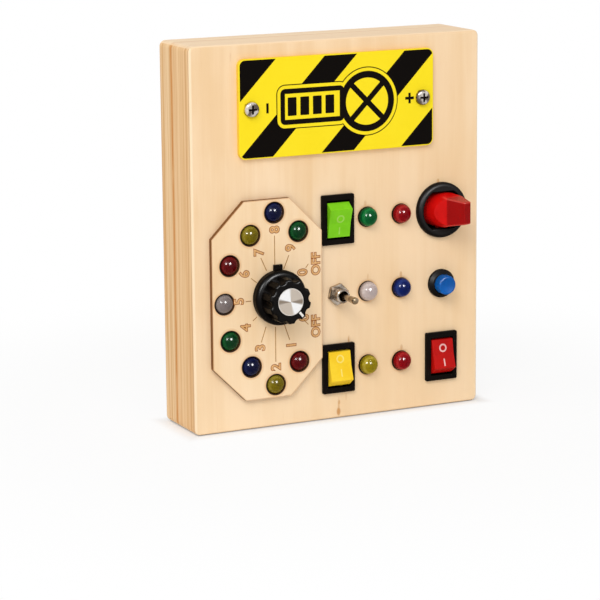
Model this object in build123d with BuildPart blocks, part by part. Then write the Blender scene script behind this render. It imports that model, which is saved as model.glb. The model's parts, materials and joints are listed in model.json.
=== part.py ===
from build123d import *
from math import cos, radians, sin, sqrt
import os

os.makedirs("parts", exist_ok=True)

# A wooden busy board: two stacked boards that hold a dial with nine lamps, three rows of switches with two lamps
# each, and a battery tray under a screwed sign. All sizes are in millimetres. X runs to the right, Z up, and the
# front faces -Y. The origin is the middle of the bottom face.

# ---- Board ----
board_width = 130.0
board_height = 157.0
board_depth = 30.0
front_board_thickness = 18.0
board_corner = 2.5
board_edge_round = 0.9
seam_round = 0.5
face_thickness = 5.0
web_thickness = 2.5
body_room = 0.8
hollow_corner = 8.0
back_wall = 6.0

# ---- Fits ----
running_gap = 0.05
loose_gap = 0.15
slide_gap = 0.3

# ---- Places of the controls ----
left_column = -0.006 * board_width
right_column = 0.364 * board_width
lamp_column_left = 0.1008 * board_width
lamp_column_right = 0.2208 * board_width
middle_row = board_height / 3
row_pitch = 0.1975 * board_height

# ---- Dial plate and dial ----
lamp_ring_rise = 1.2
dial_side_offset = 1.1
dial_rise_offset = 0.9
dial_plate_margin = 7.35
dial_plate_gap = 0.75
dial_plate_height = 0.52 * board_height
dial_plate_corner = 14.3
dial_plate_thickness = 2.3
lamp_end_margin = 5.4

base_ring_radius = 11.0
base_ring_thickness = 1.0
base_tab_width = 3.8
base_tab_reach = 13.2
knob_skirt_radius = 11.25
knob_skirt_edge = 1.3
knob_dome_rise = 2.2
knob_grip_foot_radius = 9.4
knob_grip_top_radius = 9.1
knob_height = 11.3
knob_top_round = 0.8
flute_count = 10
flute_radius = 2.0
flute_depth = 1.0
cap_radius = 5.75
cap_thickness = 0.9
cap_recess = 0.2
cap_chamfer = 0.2
pointer_angle = -50.0
pointer_width = 1.0
pointer_depth = 0.5

rotary_body_radius = 13.0
rotary_frame_thickness = 2.0
rotary_body_length = 7.0
rotary_cavity_radius = 8.5
rotary_cavity_depth = 4.0
rotary_rotor_radius = 7.5
rotary_rotor_thickness = 1.6
rotary_bushing_radius = 4.75
rotary_washer_radius = 6.5
rotary_washer_thickness = 0.5
rotary_nut_width = 12.0
rotary_nut_thickness = 2.0
rotary_thread_end = 0.3
shaft_radius = 3.0
shaft_flat = 1.5
shaft_grip_length = 7.0
rotary_terminal_count = 12
rotary_terminal_radius = 10.6
rotary_common_radius = 3.5
rotary_body_round = 0.6
rotary_bushing_chamfer = 0.4

# ---- Lamps ----
lamp_radius = 4.0
lamp_flange_radius = 4.7
lamp_flange_thickness = 1.5
lamp_length = 9.5
leg_size = 0.5
leg_distance = 2.54
leg_length = 7.0

# ---- Sign and battery tray ----
sign_x = -1.0
sign_top_margin = 6.0
sign_width = 87.5
sign_height = 40.0
sign_thickness = 2.0
sign_corner = 2.8
sign_edge_round = 0.3
sign_screw_offset = 38.5
sign_screw_head_radius = 3.2
sign_screw_head_height = 1.9
sign_screw_head_round = 1.3
sign_screw_radius = 1.45
sign_screw_length = 10.0
recess_span = 3.6
recess_width = 0.85
recess_depth = 1.1

tray_width = 32.0
tray_wall = 1.4
tray_floor = 1.6
tray_rim_drop = 0.5
tray_corner = 1.0
bay_web = 11.0
cell_radius = 7.15
cell_length = 49.2
cell_nub_radius = 2.75
cell_nub_length = 1.0
cell_edge = 0.6
coil_length = 5.1
contact_thickness = 0.4
contact_width = 9.0
contact_wire = 0.6
contact_coil_radius = 2.8
contact_coil_turns = 3
tray_screw_offset = 16.0
tray_screw_radius = 1.1
tray_screw_head_radius = 2.1
tray_screw_length = 6.0
wire_slot_width = 6.0
wire_slot_depth = 5.0
wire_slot_overlap = 1.0

# ---- Screws of the back board ----
back_screw_inset = 6.0
back_screw_radius = 1.5
back_screw_head_radius = 3.2
back_screw_length = 20.0
countersink_angle = 90.0

# ---- Rocker switches ----
rocker_bezel_width = 14.6
rocker_bezel_height = 20.6
rocker_bezel_thickness = 1.6
rocker_bezel_corner = 0.6
rocker_bezel_round = 0.4
rocker_body_width = 12.8
rocker_body_height = 18.8
rocker_body_length = 12.5
rocker_mouth_width = 10.4
rocker_mouth_height = 16.0
rocker_floor = 2.0
rocker_pivot_depth = 2.0
rocker_pin_radius = 1.2
rocker_tilt = 14.0
rocker_tip_side = 6.0
rocker_tip_rise = 5.4
rocker_middle_rise = 4.95
rocker_foot_side = 7.7
rocker_foot_rise = 1.25
rocker_keel_side = 3.0
rocker_keel_drop = 2.2
rocker_edge_round = 0.3
snap_width = 5.0
snap_bite = 0.5
snap_length = 3.5
relief_margin = 1.9
blade_width = 4.8
blade_thickness = 0.8
blade_length = 7.5
blade_distance = 8.0

# ---- Toggle switch ----
toggle_body_width = 8.0
toggle_body_height = 13.0
toggle_body_length = 9.0
toggle_frame_thickness = 1.0
toggle_bushing_radius = 2.95
toggle_bore_radius = 2.2
toggle_thread_above_face = 5.9
toggle_nut_width = 8.0
toggle_nut_thickness = 2.0
toggle_nut_chamfer = 0.25
toggle_nut_turn = 17.0
toggle_thread_chamfer = 0.4
toggle_pivot_height = 1.0
toggle_ball_radius = 2.15
toggle_neck_radius = 1.05
toggle_tip_radius = 1.5
toggle_reach = 17.3
toggle_tail_length = 6.2
toggle_tail_radius = 0.8
toggle_wall = 1.2
toggle_body_corner = 0.5
toggle_neck_proud = 1.0
toggle_tag_distance = 4.4
tag_width = 1.8
tag_thickness = 0.6
tag_length = 4.5

# ---- Push button ----
button_bezel_radius = 5.95
button_bezel_height = 2.6
button_bezel_chamfer = 1.2
button_barrel_radius = 5.0
button_barrel_length = 14.0
button_cap_radius = 4.0
button_cap_height = 6.5
button_cap_dish = 0.35
button_cap_skirt = 1.6
button_cap_round = 0.9
button_well_depth = 5.4
button_guide_length = 2.0
button_stem_radius = 1.9
button_stop_radius = 2.8
button_stop_thickness = 0.8
button_travel = 2.5
button_end_wall = 1.0
button_nut_width = 14.0
button_nut_thickness = 2.2
button_coil_radius = 3.1
button_coil_wire = 0.5
button_coil_turns = 5

# ---- Paddle switch ----
paddle_bezel_radius = 11.6
paddle_bezel_height = 2.6
paddle_bezel_round = 1.6
paddle_body_radius = 9.9
paddle_mouth_radius = 9.1
paddle_mouth_half = 7.7
paddle_mouth_round = 0.5
paddle_body_length = 12.5
paddle_floor = 2.0
paddle_pivot_depth = 2.0
paddle_tilt = 18.5
paddle_foot_radius = 7.3
paddle_foot_rise = 4.4
paddle_waist_side = 4.75
paddle_waist_rise = 9.1
paddle_waist_half = 5.9
paddle_tip_side = 1.8
paddle_tip_rise = 16.6
paddle_tip_half = 4.65
paddle_edge_round = 0.6
paddle_keel = 2.0
paddle_pin_radius = 1.2

# ---- Values worked out from the sizes above ----
front = board_depth / 2
back_board_thickness = board_depth - front_board_thickness
top_row = middle_row + row_pitch
low_row = middle_row - row_pitch
sign_z = board_height - sign_top_margin - sign_height / 2
plate_face = dial_plate_thickness
rim_width = board_width / 2 - right_column - paddle_body_radius - body_room
hollow_top = sign_z - tray_width / 2 - bay_web
hollow_width = board_width - 2 * rim_width
hollow_height = hollow_top - rim_width
hollow_middle = (hollow_top + rim_width) / 2
lamp_hole_radius = lamp_radius + loose_gap
tray_inner_length = cell_length + cell_nub_length + coil_length + 2 * contact_thickness
tray_length = tray_inner_length + 2 * tray_wall
tray_hole_length = tray_length + 2 * slide_gap
tray_hole_width = tray_width + 2 * slide_gap
rocker_hole_width = rocker_body_width + 2 * loose_gap
rocker_hole_height = rocker_body_height + 2 * loose_gap
mouth_gap = (rocker_body_width - rocker_mouth_width) / 2

# The dial plate fills the room between the board's left edge and the left column of switches. Its ring of lamps
# stands a little right of its middle, spread in proportion to the plate, and the dial a little above and to the right
# of the middle of that ring.
dial_plate_left = dial_plate_margin - board_width / 2
dial_plate_right = left_column - rocker_bezel_width / 2 - dial_plate_gap
dial_plate_width = dial_plate_right - dial_plate_left
dial_plate_x = (dial_plate_left + dial_plate_right) / 2
ring_x = dial_plate_x + dial_plate_width / 15
ring_z = middle_row + lamp_ring_rise
dial_x = ring_x + dial_side_offset
dial_z = ring_z + dial_rise_offset
lamp_end_reach = dial_plate_height / 2 - lamp_end_margin
lamp_slant_side = 0.219 * dial_plate_width
lamp_slant_rise = 0.33 * dial_plate_height
lamp_corner_side = 0.408 * dial_plate_width
lamp_corner_rise = 0.189 * dial_plate_height
lamp_left_reach = 0.457 * dial_plate_width
dial_lamps = [
    (1, lamp_slant_side, -lamp_slant_rise),
    (2, 0.0, -lamp_end_reach),
    (3, -lamp_slant_side, -lamp_slant_rise),
    (4, -lamp_corner_side, -lamp_corner_rise),
    (5, -lamp_left_reach, 0.0),
    (6, -lamp_corner_side, lamp_corner_rise),
    (7, -lamp_slant_side, lamp_slant_rise),
    (8, 0.0, lamp_end_reach),
    (9, lamp_slant_side, lamp_slant_rise),
]
row_lamps = [
    ("row_led_green", lamp_column_left, top_row),
    ("row_led_red_top", lamp_column_right, top_row),
    ("row_led_white", lamp_column_left, middle_row),
    ("row_led_blue", lamp_column_right, middle_row),
    ("row_led_yellow", lamp_column_left, low_row),
    ("row_led_red_low", lamp_column_right, low_row),
]
dial_lamp_places = [(ring_x + side, ring_z + rise) for number, side, rise in dial_lamps]
row_lamp_places = [(x, z) for name, x, z in row_lamps]
lamp_places = dial_lamp_places + row_lamp_places

# A rocker that is switched off stands proud at its lower end, and one that is on at its upper end.
rockers = [
    ("green", left_column, top_row, rocker_tilt),
    ("yellow", left_column, low_row, -rocker_tilt),
    ("red", right_column, low_row, -rocker_tilt),
]
rocker_places = [(x, z) for name, x, z, tilt in rockers]

back_screw_places = [
    (x, z)
    for x in (-board_width / 2 + back_screw_inset, board_width / 2 - back_screw_inset)
    for z in (back_screw_inset, board_height - back_screw_inset)
]
sign_screw_places = [(sign_x - sign_screw_offset, sign_z), (sign_x + sign_screw_offset, sign_z)]
tray_screw_places = [(sign_x - tray_screw_offset, sign_z), (sign_x + tray_screw_offset, sign_z)]


# ---- Helpers: heights are counted from the front face, outwards ----
def face_plane(x, z, height):
    """A plane parallel to the front face, centred on x and z."""
    return Plane(origin=(x, -(front + height), z), x_dir=(1, 0, 0), z_dir=(0, -1, 0))


def turning_plane(x, z):
    """A plane through a turned piece's axis: local x is the radius and local y the height."""
    return Plane(origin=(x, -front, z), x_dir=(1, 0, 0), z_dir=(0, 0, -1))


def turning_axis(x, z):
    """The axis that stands out of the front face at x and z."""
    return Axis((x, -front, z), (0, -1, 0))


def save(piece, name):
    """Name a finished piece and write it."""
    piece.part.label = name
    export_step(piece.part, f"parts/{name}.step")


# ---- Front board ----
with BuildPart() as front_board:
    with BuildSketch(face_plane(0, board_height / 2, 0)):
        RectangleRounded(board_width, board_height, board_corner)
    extrude(amount=-front_board_thickness)
    fillet(front_board.faces().sort_by(Axis.Y)[0].edges(), board_edge_round)
    fillet(front_board.faces().sort_by(Axis.Y)[-1].edges(), seam_round)
    # The hollow behind the controls, with solid wood above it round the battery bay.
    with BuildSketch(face_plane(0, hollow_middle, -front_board_thickness)):
        RectangleRounded(hollow_width, hollow_height, hollow_corner)
    extrude(amount=front_board_thickness - face_thickness, mode=Mode.SUBTRACT)
    with BuildSketch(face_plane(sign_x, sign_z, 0)):
        RectangleRounded(tray_hole_length, tray_hole_width, tray_corner)
    extrude(amount=-front_board_thickness, mode=Mode.SUBTRACT)
    # A slot for the wires joins the bay to the hollow.
    slot_bottom = hollow_top - wire_slot_overlap
    slot_top = sign_z - tray_hole_width / 2 + wire_slot_overlap
    with BuildSketch(face_plane(sign_x + tray_length / 4, (slot_bottom + slot_top) / 2, -front_board_thickness)):
        Rectangle(wire_slot_width, slot_top - slot_bottom)
    extrude(amount=wire_slot_depth, mode=Mode.SUBTRACT)
    # Holes through the face.
    with BuildSketch(face_plane(0, 0, 0)):
        with Locations(*lamp_places):
            Circle(lamp_hole_radius)
        with Locations((dial_x, dial_z)):
            Circle(rotary_bushing_radius + loose_gap)
        with Locations(*rocker_places):
            Rectangle(rocker_hole_width, rocker_hole_height)
        with Locations((left_column, middle_row)):
            Circle(toggle_bushing_radius + loose_gap)
        with Locations((right_column, middle_row)):
            Circle(button_barrel_radius + loose_gap)
        with Locations((right_column, top_row)):
            Circle(paddle_body_radius + loose_gap)
    extrude(amount=-face_thickness, mode=Mode.SUBTRACT)
    # Thinner webs where switches snap in or need more of their thread.
    with BuildSketch(face_plane(0, 0, -web_thickness)):
        with Locations(*rocker_places):
            Rectangle(rocker_body_width + 2 * relief_margin, rocker_body_height + 2 * relief_margin)
        with Locations((left_column, middle_row)):
            Rectangle(toggle_body_width + 2 * relief_margin, toggle_body_height + 2 * relief_margin)
        with Locations((right_column, top_row)):
            Rectangle(snap_width + 2 * relief_margin, 2 * (paddle_body_radius + relief_margin))
    extrude(amount=web_thickness - face_thickness, mode=Mode.SUBTRACT)
    # Pilot holes of the wood screws, from the front for the sign and from behind for the back board.
    with BuildSketch(face_plane(0, 0, 0)):
        with Locations(*sign_screw_places):
            Circle(sign_screw_radius + running_gap)
    extrude(amount=-sign_screw_length, mode=Mode.SUBTRACT)
    with BuildSketch(face_plane(0, 0, -front_board_thickness)):
        with Locations(*back_screw_places):
            Circle(back_screw_radius + running_gap)
    extrude(amount=back_screw_length - back_board_thickness + slide_gap, mode=Mode.SUBTRACT)
save(front_board, "front_board")

# ---- Back board, with a shallower hollow that meets the front one ----
with BuildPart() as back_board:
    with BuildSketch(face_plane(0, board_height / 2, -front_board_thickness)):
        RectangleRounded(board_width, board_height, board_corner)
    extrude(amount=-back_board_thickness)
    fillet(back_board.faces().sort_by(Axis.Y)[-1].edges(), board_edge_round)
    fillet(back_board.faces().sort_by(Axis.Y)[0].edges(), seam_round)
    with BuildSketch(face_plane(0, hollow_middle, -front_board_thickness)):
        RectangleRounded(hollow_width, hollow_height, hollow_corner)
    extrude(amount=back_wall - back_board_thickness, mode=Mode.SUBTRACT)
    with Locations(*[
        Plane(origin=(x, front, z), x_dir=(-1, 0, 0), z_dir=(0, 1, 0)) for x, z in back_screw_places
    ]):
        CounterSinkHole(
            radius=back_screw_radius + slide_gap,
            counter_sink_radius=back_screw_head_radius + slide_gap,
            depth=back_board_thickness,
            counter_sink_angle=countersink_angle,
        )
    with BuildSketch(face_plane(0, 0, -front_board_thickness)):
        with Locations(*tray_screw_places):
            Circle(tray_screw_radius + running_gap)
    extrude(amount=-tray_screw_length, mode=Mode.SUBTRACT)
save(back_board, "back_board")

# ---- Four countersunk wood screws that hold the boards together ----
with BuildPart() as back_board_screws:
    for x, z in back_screw_places:
        with BuildSketch(turning_plane(x, z)):
            with BuildLine():
                head_end = -board_depth + back_screw_head_radius - back_screw_radius
                tip = -board_depth + back_screw_length
                Polyline(
                    (0, -board_depth),
                    (back_screw_head_radius, -board_depth),
                    (back_screw_radius, head_end),
                    (back_screw_radius, tip - 2 * back_screw_radius),
                    (0, tip),
                    close=True,
                )
            make_face()
        revolve(axis=turning_axis(x, z))
        with BuildSketch(face_plane(x, z, -board_depth)):
            Rectangle(recess_span, recess_width)
            Rectangle(recess_width, recess_span)
        extrude(amount=recess_depth, mode=Mode.SUBTRACT)
save(back_board_screws, "back_board_screws")

# ---- Eight-sided plywood plate of the dial ----
with BuildPart() as dial_plate:
    with BuildSketch(face_plane(dial_plate_x, ring_z, 0)) as plate_outline:
        Rectangle(dial_plate_width, dial_plate_height)
        chamfer(plate_outline.vertices(), length=dial_plate_corner)
    extrude(amount=dial_plate_thickness)
    with BuildSketch(face_plane(0, 0, 0)):
        with Locations(*dial_lamp_places):
            Circle(lamp_hole_radius)
        with Locations((dial_x, dial_z)):
            Circle(rotary_bushing_radius + loose_gap)
    extrude(amount=dial_plate_thickness, mode=Mode.SUBTRACT)
save(dial_plate, "dial_plate")

# ---- Sign plate, which covers the batteries, and its two screws ----
with BuildPart() as sign_plate:
    with BuildSketch(face_plane(sign_x, sign_z, 0)):
        RectangleRounded(sign_width, sign_height, sign_corner)
    extrude(amount=sign_thickness)
    fillet(sign_plate.faces().sort_by(Axis.Y)[0].edges(), sign_edge_round)
    with BuildSketch(face_plane(0, 0, 0)):
        with Locations(*sign_screw_places):
            Circle(sign_screw_radius + slide_gap)
    extrude(amount=sign_thickness, mode=Mode.SUBTRACT)
save(sign_plate, "sign_plate")

with BuildPart() as sign_screws:
    for x, z in sign_screw_places:
        head_top = sign_thickness + sign_screw_head_height
        tip = head_top - sign_screw_head_height - sign_screw_length
        with BuildSketch(turning_plane(x, z)):
            with BuildLine():
                Polyline(
                    (0, head_top),
                    (0, tip),
                    (sign_screw_radius, tip + 2 * sign_screw_radius),
                    (sign_screw_radius, sign_thickness),
                    (sign_screw_head_radius, sign_thickness),
                    (sign_screw_head_radius, head_top),
                    close=True,
                )
            make_face()
        revolve(axis=turning_axis(x, z))
    fillet(sign_screws.faces().group_by(Axis.Y)[0].edges(), sign_screw_head_round)
    for x, z in sign_screw_places:
        with BuildSketch(face_plane(x, z, head_top)):
            Rectangle(recess_span, recess_width)
            Rectangle(recess_width, recess_span)
        extrude(amount=-recess_depth, mode=Mode.SUBTRACT)
save(sign_screws, "sign_screws")

# ---- Battery tray with two cells end to end beside each other ----
tray_back = -front_board_thickness
tray_height = front_board_thickness - tray_rim_drop
tray_inner_width = tray_width - 2 * tray_wall
cell_axis_height = tray_back + tray_floor + cell_radius + running_gap
cell_offset = cell_radius + loose_gap
with BuildPart() as battery_tray:
    with BuildSketch(face_plane(sign_x, sign_z, tray_back)):
        RectangleRounded(tray_length, tray_width, tray_corner)
    extrude(amount=tray_height)
    with BuildSketch(face_plane(sign_x, sign_z, tray_back + tray_floor)):
        Rectangle(tray_inner_length, tray_inner_width)
    extrude(amount=tray_height, mode=Mode.SUBTRACT)
    # Finger notches in the long walls.
    with BuildSketch(face_plane(sign_x, sign_z, -tray_rim_drop)):
        Rectangle(tray_length / 3, tray_width)
    extrude(amount=-cell_radius, mode=Mode.SUBTRACT)
    with Locations(*[Location(face_plane(x, z, tray_back + tray_floor)) for x, z in tray_screw_places]):
        CounterSinkHole(
            radius=tray_screw_radius + loose_gap,
            counter_sink_radius=tray_screw_head_radius + loose_gap,
            depth=tray_floor,
            counter_sink_angle=countersink_angle,
        )
save(battery_tray, "battery_tray")

with BuildPart() as battery_tray_screws:
    for x, z in tray_screw_places:
        head_face = tray_back + tray_floor
        tip = head_face - tray_screw_length
        with BuildSketch(turning_plane(x, z)):
            with BuildLine():
                Polyline(
                    (0, head_face),
                    (tray_screw_head_radius, head_face),
                    (tray_screw_radius, head_face - tray_screw_head_radius + tray_screw_radius),
                    (tray_screw_radius, tip + tray_screw_radius),
                    (0, tip),
                    close=True,
                )
            make_face()
        revolve(axis=turning_axis(x, z))
save(battery_tray_screws, "battery_tray_screws")

# The lower cell points its nub to the right, and the upper one to the left.
cell_rows = [(1, sign_z - cell_offset), (-1, sign_z + cell_offset)]
nub_contact_reach = tray_inner_length / 2 - contact_thickness
with BuildPart() as battery_cells:
    for way, z in cell_rows:
        nub_end = nub_contact_reach
        shoulder = nub_end - cell_nub_length
        base = shoulder - cell_length
        with BuildSketch(Plane(origin=(sign_x, -(front + cell_axis_height), z), x_dir=(way, 0, 0), z_dir=(0, 0, way))):
            with BuildLine():
                Polyline(
                    (base, 0),
                    (base, cell_radius - cell_edge),
                    (base + cell_edge, cell_radius),
                    (shoulder - cell_edge, cell_radius),
                    (shoulder, cell_radius - cell_edge),
                    (shoulder, cell_nub_radius),
                    (nub_end, cell_nub_radius),
                    (nub_end, 0),
                    close=True,
                )
            make_face()
        revolve(axis=Axis((sign_x, -(front + cell_axis_height), z), (1, 0, 0)))
save(battery_cells, "battery_cells")

# Flat contacts meet the nubs, and coil contacts press on the bases.
contact_height = 2 * cell_radius
with BuildPart() as battery_flat_contacts:
    for way, z in cell_rows:
        centre = sign_x + way * (nub_contact_reach + contact_thickness / 2)
        with Locations((centre, -(front + cell_axis_height), z)):
            Box(contact_thickness, contact_height, contact_width)
save(battery_flat_contacts, "battery_flat_contacts")

with BuildPart() as battery_spring_contacts:
    for way, z in cell_rows:
        plate_inner = sign_x - way * nub_contact_reach
        centre = plate_inner - way * contact_thickness / 2
        with Locations((centre, -(front + cell_axis_height), z)):
            Box(contact_thickness, contact_height, contact_width)
        coil_start = plate_inner + way * contact_wire / 2
        coil_rise = coil_length - contact_wire
        coil_centre = (coil_start, -(front + cell_axis_height), z)
        with BuildLine() as coil_line:
            Helix(
                pitch=coil_rise / contact_coil_turns,
                height=coil_rise,
                radius=contact_coil_radius,
                center=coil_centre,
                direction=(way, 0, 0),
            )
        with BuildSketch(Plane(origin=coil_line.line @ 0, z_dir=coil_line.line % 0)):
            Rectangle(contact_wire, contact_wire)
        sweep(path=coil_line.line, is_frenet=True)
save(battery_spring_contacts, "battery_spring_contacts")


# ---- Lamps ----
def lamp(x, z):
    """One round-topped lamp, with its flange behind the face."""
    back = -face_thickness
    top = back + lamp_length
    with BuildPart() as lens:
        with BuildSketch(turning_plane(x, z)):
            with BuildLine():
                Polyline(
                    (0, top),
                    (0, back - lamp_flange_thickness),
                    (lamp_flange_radius, back - lamp_flange_thickness),
                    (lamp_flange_radius, back),
                    (lamp_radius, back),
                    (lamp_radius, top - lamp_radius),
                )
                dome_mid = lamp_radius / sqrt(2)
                ThreePointArc(
                    (lamp_radius, top - lamp_radius),
                    (dome_mid, top - lamp_radius + dome_mid),
                    (0, top),
                )
            make_face()
        revolve(axis=turning_axis(x, z))
    return lens


for number, side, rise in dial_lamps:
    save(lamp(ring_x + side, ring_z + rise), f"dial_led_{number}")
for name, x, z in row_lamps:
    save(lamp(x, z), name)

with BuildPart() as led_legs:
    with BuildSketch(face_plane(0, 0, -face_thickness - lamp_flange_thickness)):
        with Locations(*lamp_places):
            with GridLocations(leg_distance, leg_distance, 2, 1):
                Rectangle(leg_size, leg_size)
    extrude(amount=-leg_length)
save(led_legs, "led_legs")

# ---- Rotary switch behind the dial ----
frame_front = -face_thickness
frame_back = frame_front - rotary_frame_thickness
rotary_body_back = frame_back - rotary_body_length
nut_base = plate_face + rotary_washer_thickness
nut_top = nut_base + rotary_nut_thickness
bushing_top = nut_top + rotary_thread_end
shaft_top = bushing_top + shaft_grip_length
with BuildPart() as rotary_switch_frame:
    with BuildSketch(turning_plane(dial_x, dial_z)):
        with BuildLine():
            Polyline(
                (shaft_radius + running_gap, frame_back),
                (rotary_body_radius, frame_back),
                (rotary_body_radius, frame_front),
                (rotary_bushing_radius, frame_front),
                (rotary_bushing_radius, bushing_top - rotary_bushing_chamfer),
                (rotary_bushing_radius - rotary_bushing_chamfer, bushing_top),
                (shaft_radius + running_gap, bushing_top),
                close=True,
            )
        make_face()
    revolve(axis=turning_axis(dial_x, dial_z))
save(rotary_switch_frame, "rotary_switch_frame")

with BuildPart() as rotary_switch_body:
    with BuildSketch(face_plane(dial_x, dial_z, frame_back)):
        Circle(rotary_body_radius)
    extrude(amount=-rotary_body_length)
    with BuildSketch(face_plane(dial_x, dial_z, frame_back)):
        Circle(rotary_cavity_radius)
    extrude(amount=-rotary_cavity_depth, mode=Mode.SUBTRACT)
    fillet(rotary_switch_body.faces().sort_by(Axis.Y)[-1].edges(), rotary_body_round)
save(rotary_switch_body, "rotary_switch_body")

with BuildPart() as rotary_switch_terminals:
    with BuildSketch(face_plane(dial_x, dial_z, rotary_body_back)):
        with PolarLocations(rotary_terminal_radius, rotary_terminal_count):
            Rectangle(tag_thickness, tag_width)
        with PolarLocations(rotary_common_radius, 1):
            Rectangle(tag_thickness, tag_width)
    extrude(amount=-tag_length)
save(rotary_switch_terminals, "rotary_switch_terminals")

with BuildPart() as rotary_switch_washer:
    with BuildSketch(face_plane(dial_x, dial_z, plate_face)):
        Circle(rotary_washer_radius)
        Circle(rotary_bushing_radius + running_gap, mode=Mode.SUBTRACT)
    extrude(amount=rotary_washer_thickness)
save(rotary_switch_washer, "rotary_switch_washer")

with BuildPart() as rotary_switch_nut:
    with BuildSketch(face_plane(dial_x, dial_z, nut_base)):
        RegularPolygon(rotary_nut_width / 2, 6, major_radius=False)
        Circle(rotary_bushing_radius + running_gap, mode=Mode.SUBTRACT)
    extrude(amount=rotary_nut_thickness)
save(rotary_switch_nut, "rotary_switch_nut")

rotor_front = frame_back - loose_gap
with BuildPart() as rotary_shaft:
    with BuildSketch(face_plane(dial_x, dial_z, rotor_front)):
        Circle(rotary_rotor_radius)
    extrude(amount=-rotary_rotor_thickness)
    with BuildSketch(face_plane(dial_x, dial_z, rotor_front)):
        Circle(shaft_radius)
    extrude(amount=shaft_top - rotor_front)
    with BuildSketch(face_plane(dial_x, dial_z, bushing_top)):
        with Locations((2 * shaft_radius - shaft_flat, 0)):
            Rectangle(2 * shaft_radius, 3 * shaft_radius)
    extrude(amount=shaft_grip_length, mode=Mode.SUBTRACT)
save(rotary_shaft, "rotary_shaft")

# ---- Dial: fixed ring with its tab, then the knob with cap and pointer, which turn with the shaft ----
nut_room = rotary_nut_width / sqrt(3) + slide_gap
with BuildPart() as dial_base_ring:
    with BuildSketch(face_plane(dial_x, dial_z, plate_face)):
        Circle(base_ring_radius)
        with Locations((0, base_tab_reach / 2)):
            Rectangle(base_tab_width, base_tab_reach)
        Circle(nut_room + slide_gap, mode=Mode.SUBTRACT)
    extrude(amount=base_ring_thickness)
save(dial_base_ring, "dial_base_ring")

knob_foot = plate_face + base_ring_thickness + slide_gap
knob_top = knob_foot + knob_height
dome_start = knob_foot + knob_skirt_edge
grip_start = dome_start + knob_dome_rise
with BuildPart() as dial_knob:
    with BuildSketch(turning_plane(dial_x, dial_z)):
        with BuildLine():
            Polyline(
                (knob_grip_foot_radius, grip_start),
                (knob_grip_top_radius, knob_top),
                (0, knob_top),
                (0, knob_foot),
                (knob_skirt_radius, knob_foot),
                (knob_skirt_radius, dome_start),
            )
            ThreePointArc(
                (knob_skirt_radius, dome_start),
                (
                    knob_skirt_radius - 0.25 * (knob_skirt_radius - knob_grip_foot_radius),
                    dome_start + 0.7 * knob_dome_rise,
                ),
                (knob_grip_foot_radius, grip_start),
            )
        make_face()
    revolve(axis=turning_axis(dial_x, dial_z))
    # Flutes round the grip, with a lobe left under the pointer.
    flute_ring = knob_grip_top_radius - flute_depth + flute_radius
    with BuildSketch(face_plane(dial_x, dial_z, grip_start)):
        with PolarLocations(flute_ring, flute_count, start_angle=pointer_angle + 180 / flute_count):
            Circle(flute_radius)
    extrude(amount=knob_height, mode=Mode.SUBTRACT)
    fillet(dial_knob.faces().sort_by(Axis.Y)[0].edges(), knob_top_round)
    # Seat of the bright cap, groove of the pointer, room for the nut and the D-shaped bore.
    with BuildSketch(face_plane(dial_x, dial_z, knob_top)):
        Circle(cap_radius + running_gap)
    extrude(amount=-cap_recess - cap_thickness, mode=Mode.SUBTRACT)
    pointer_start = cap_radius + 2 * running_gap
    pointer_length = knob_grip_top_radius - knob_top_round - pointer_start
    with BuildSketch(face_plane(dial_x, dial_z, knob_top)):
        with PolarLocations(pointer_start + pointer_length / 2, 1, start_angle=pointer_angle):
            Rectangle(pointer_length, pointer_width)
    extrude(amount=-pointer_depth, mode=Mode.SUBTRACT)
    with BuildSketch(face_plane(dial_x, dial_z, knob_foot)):
        Circle(nut_room)
    extrude(amount=bushing_top + slide_gap - knob_foot, mode=Mode.SUBTRACT)
    with BuildSketch(face_plane(dial_x, dial_z, knob_foot)):
        Circle(shaft_radius + running_gap)
        with Locations((2 * shaft_radius - shaft_flat + running_gap, 0)):
            Rectangle(2 * shaft_radius, 3 * shaft_radius, mode=Mode.SUBTRACT)
    extrude(amount=shaft_top + loose_gap - knob_foot, mode=Mode.SUBTRACT)
save(dial_knob, "dial_knob")

with BuildPart() as dial_knob_cap:
    with BuildSketch(face_plane(dial_x, dial_z, knob_top - cap_recess - cap_thickness)):
        Circle(cap_radius)
    extrude(amount=cap_thickness)
    chamfer(dial_knob_cap.faces().sort_by(Axis.Y)[0].edges(), cap_chamfer)
save(dial_knob_cap, "dial_knob_cap")

with BuildPart() as dial_pointer:
    with BuildSketch(face_plane(dial_x, dial_z, knob_top - pointer_depth)):
        with PolarLocations(pointer_start + pointer_length / 2, 1, start_angle=pointer_angle):
            Rectangle(pointer_length - running_gap, pointer_width - running_gap)
    extrude(amount=pointer_depth + running_gap)
save(dial_pointer, "dial_pointer")


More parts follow.
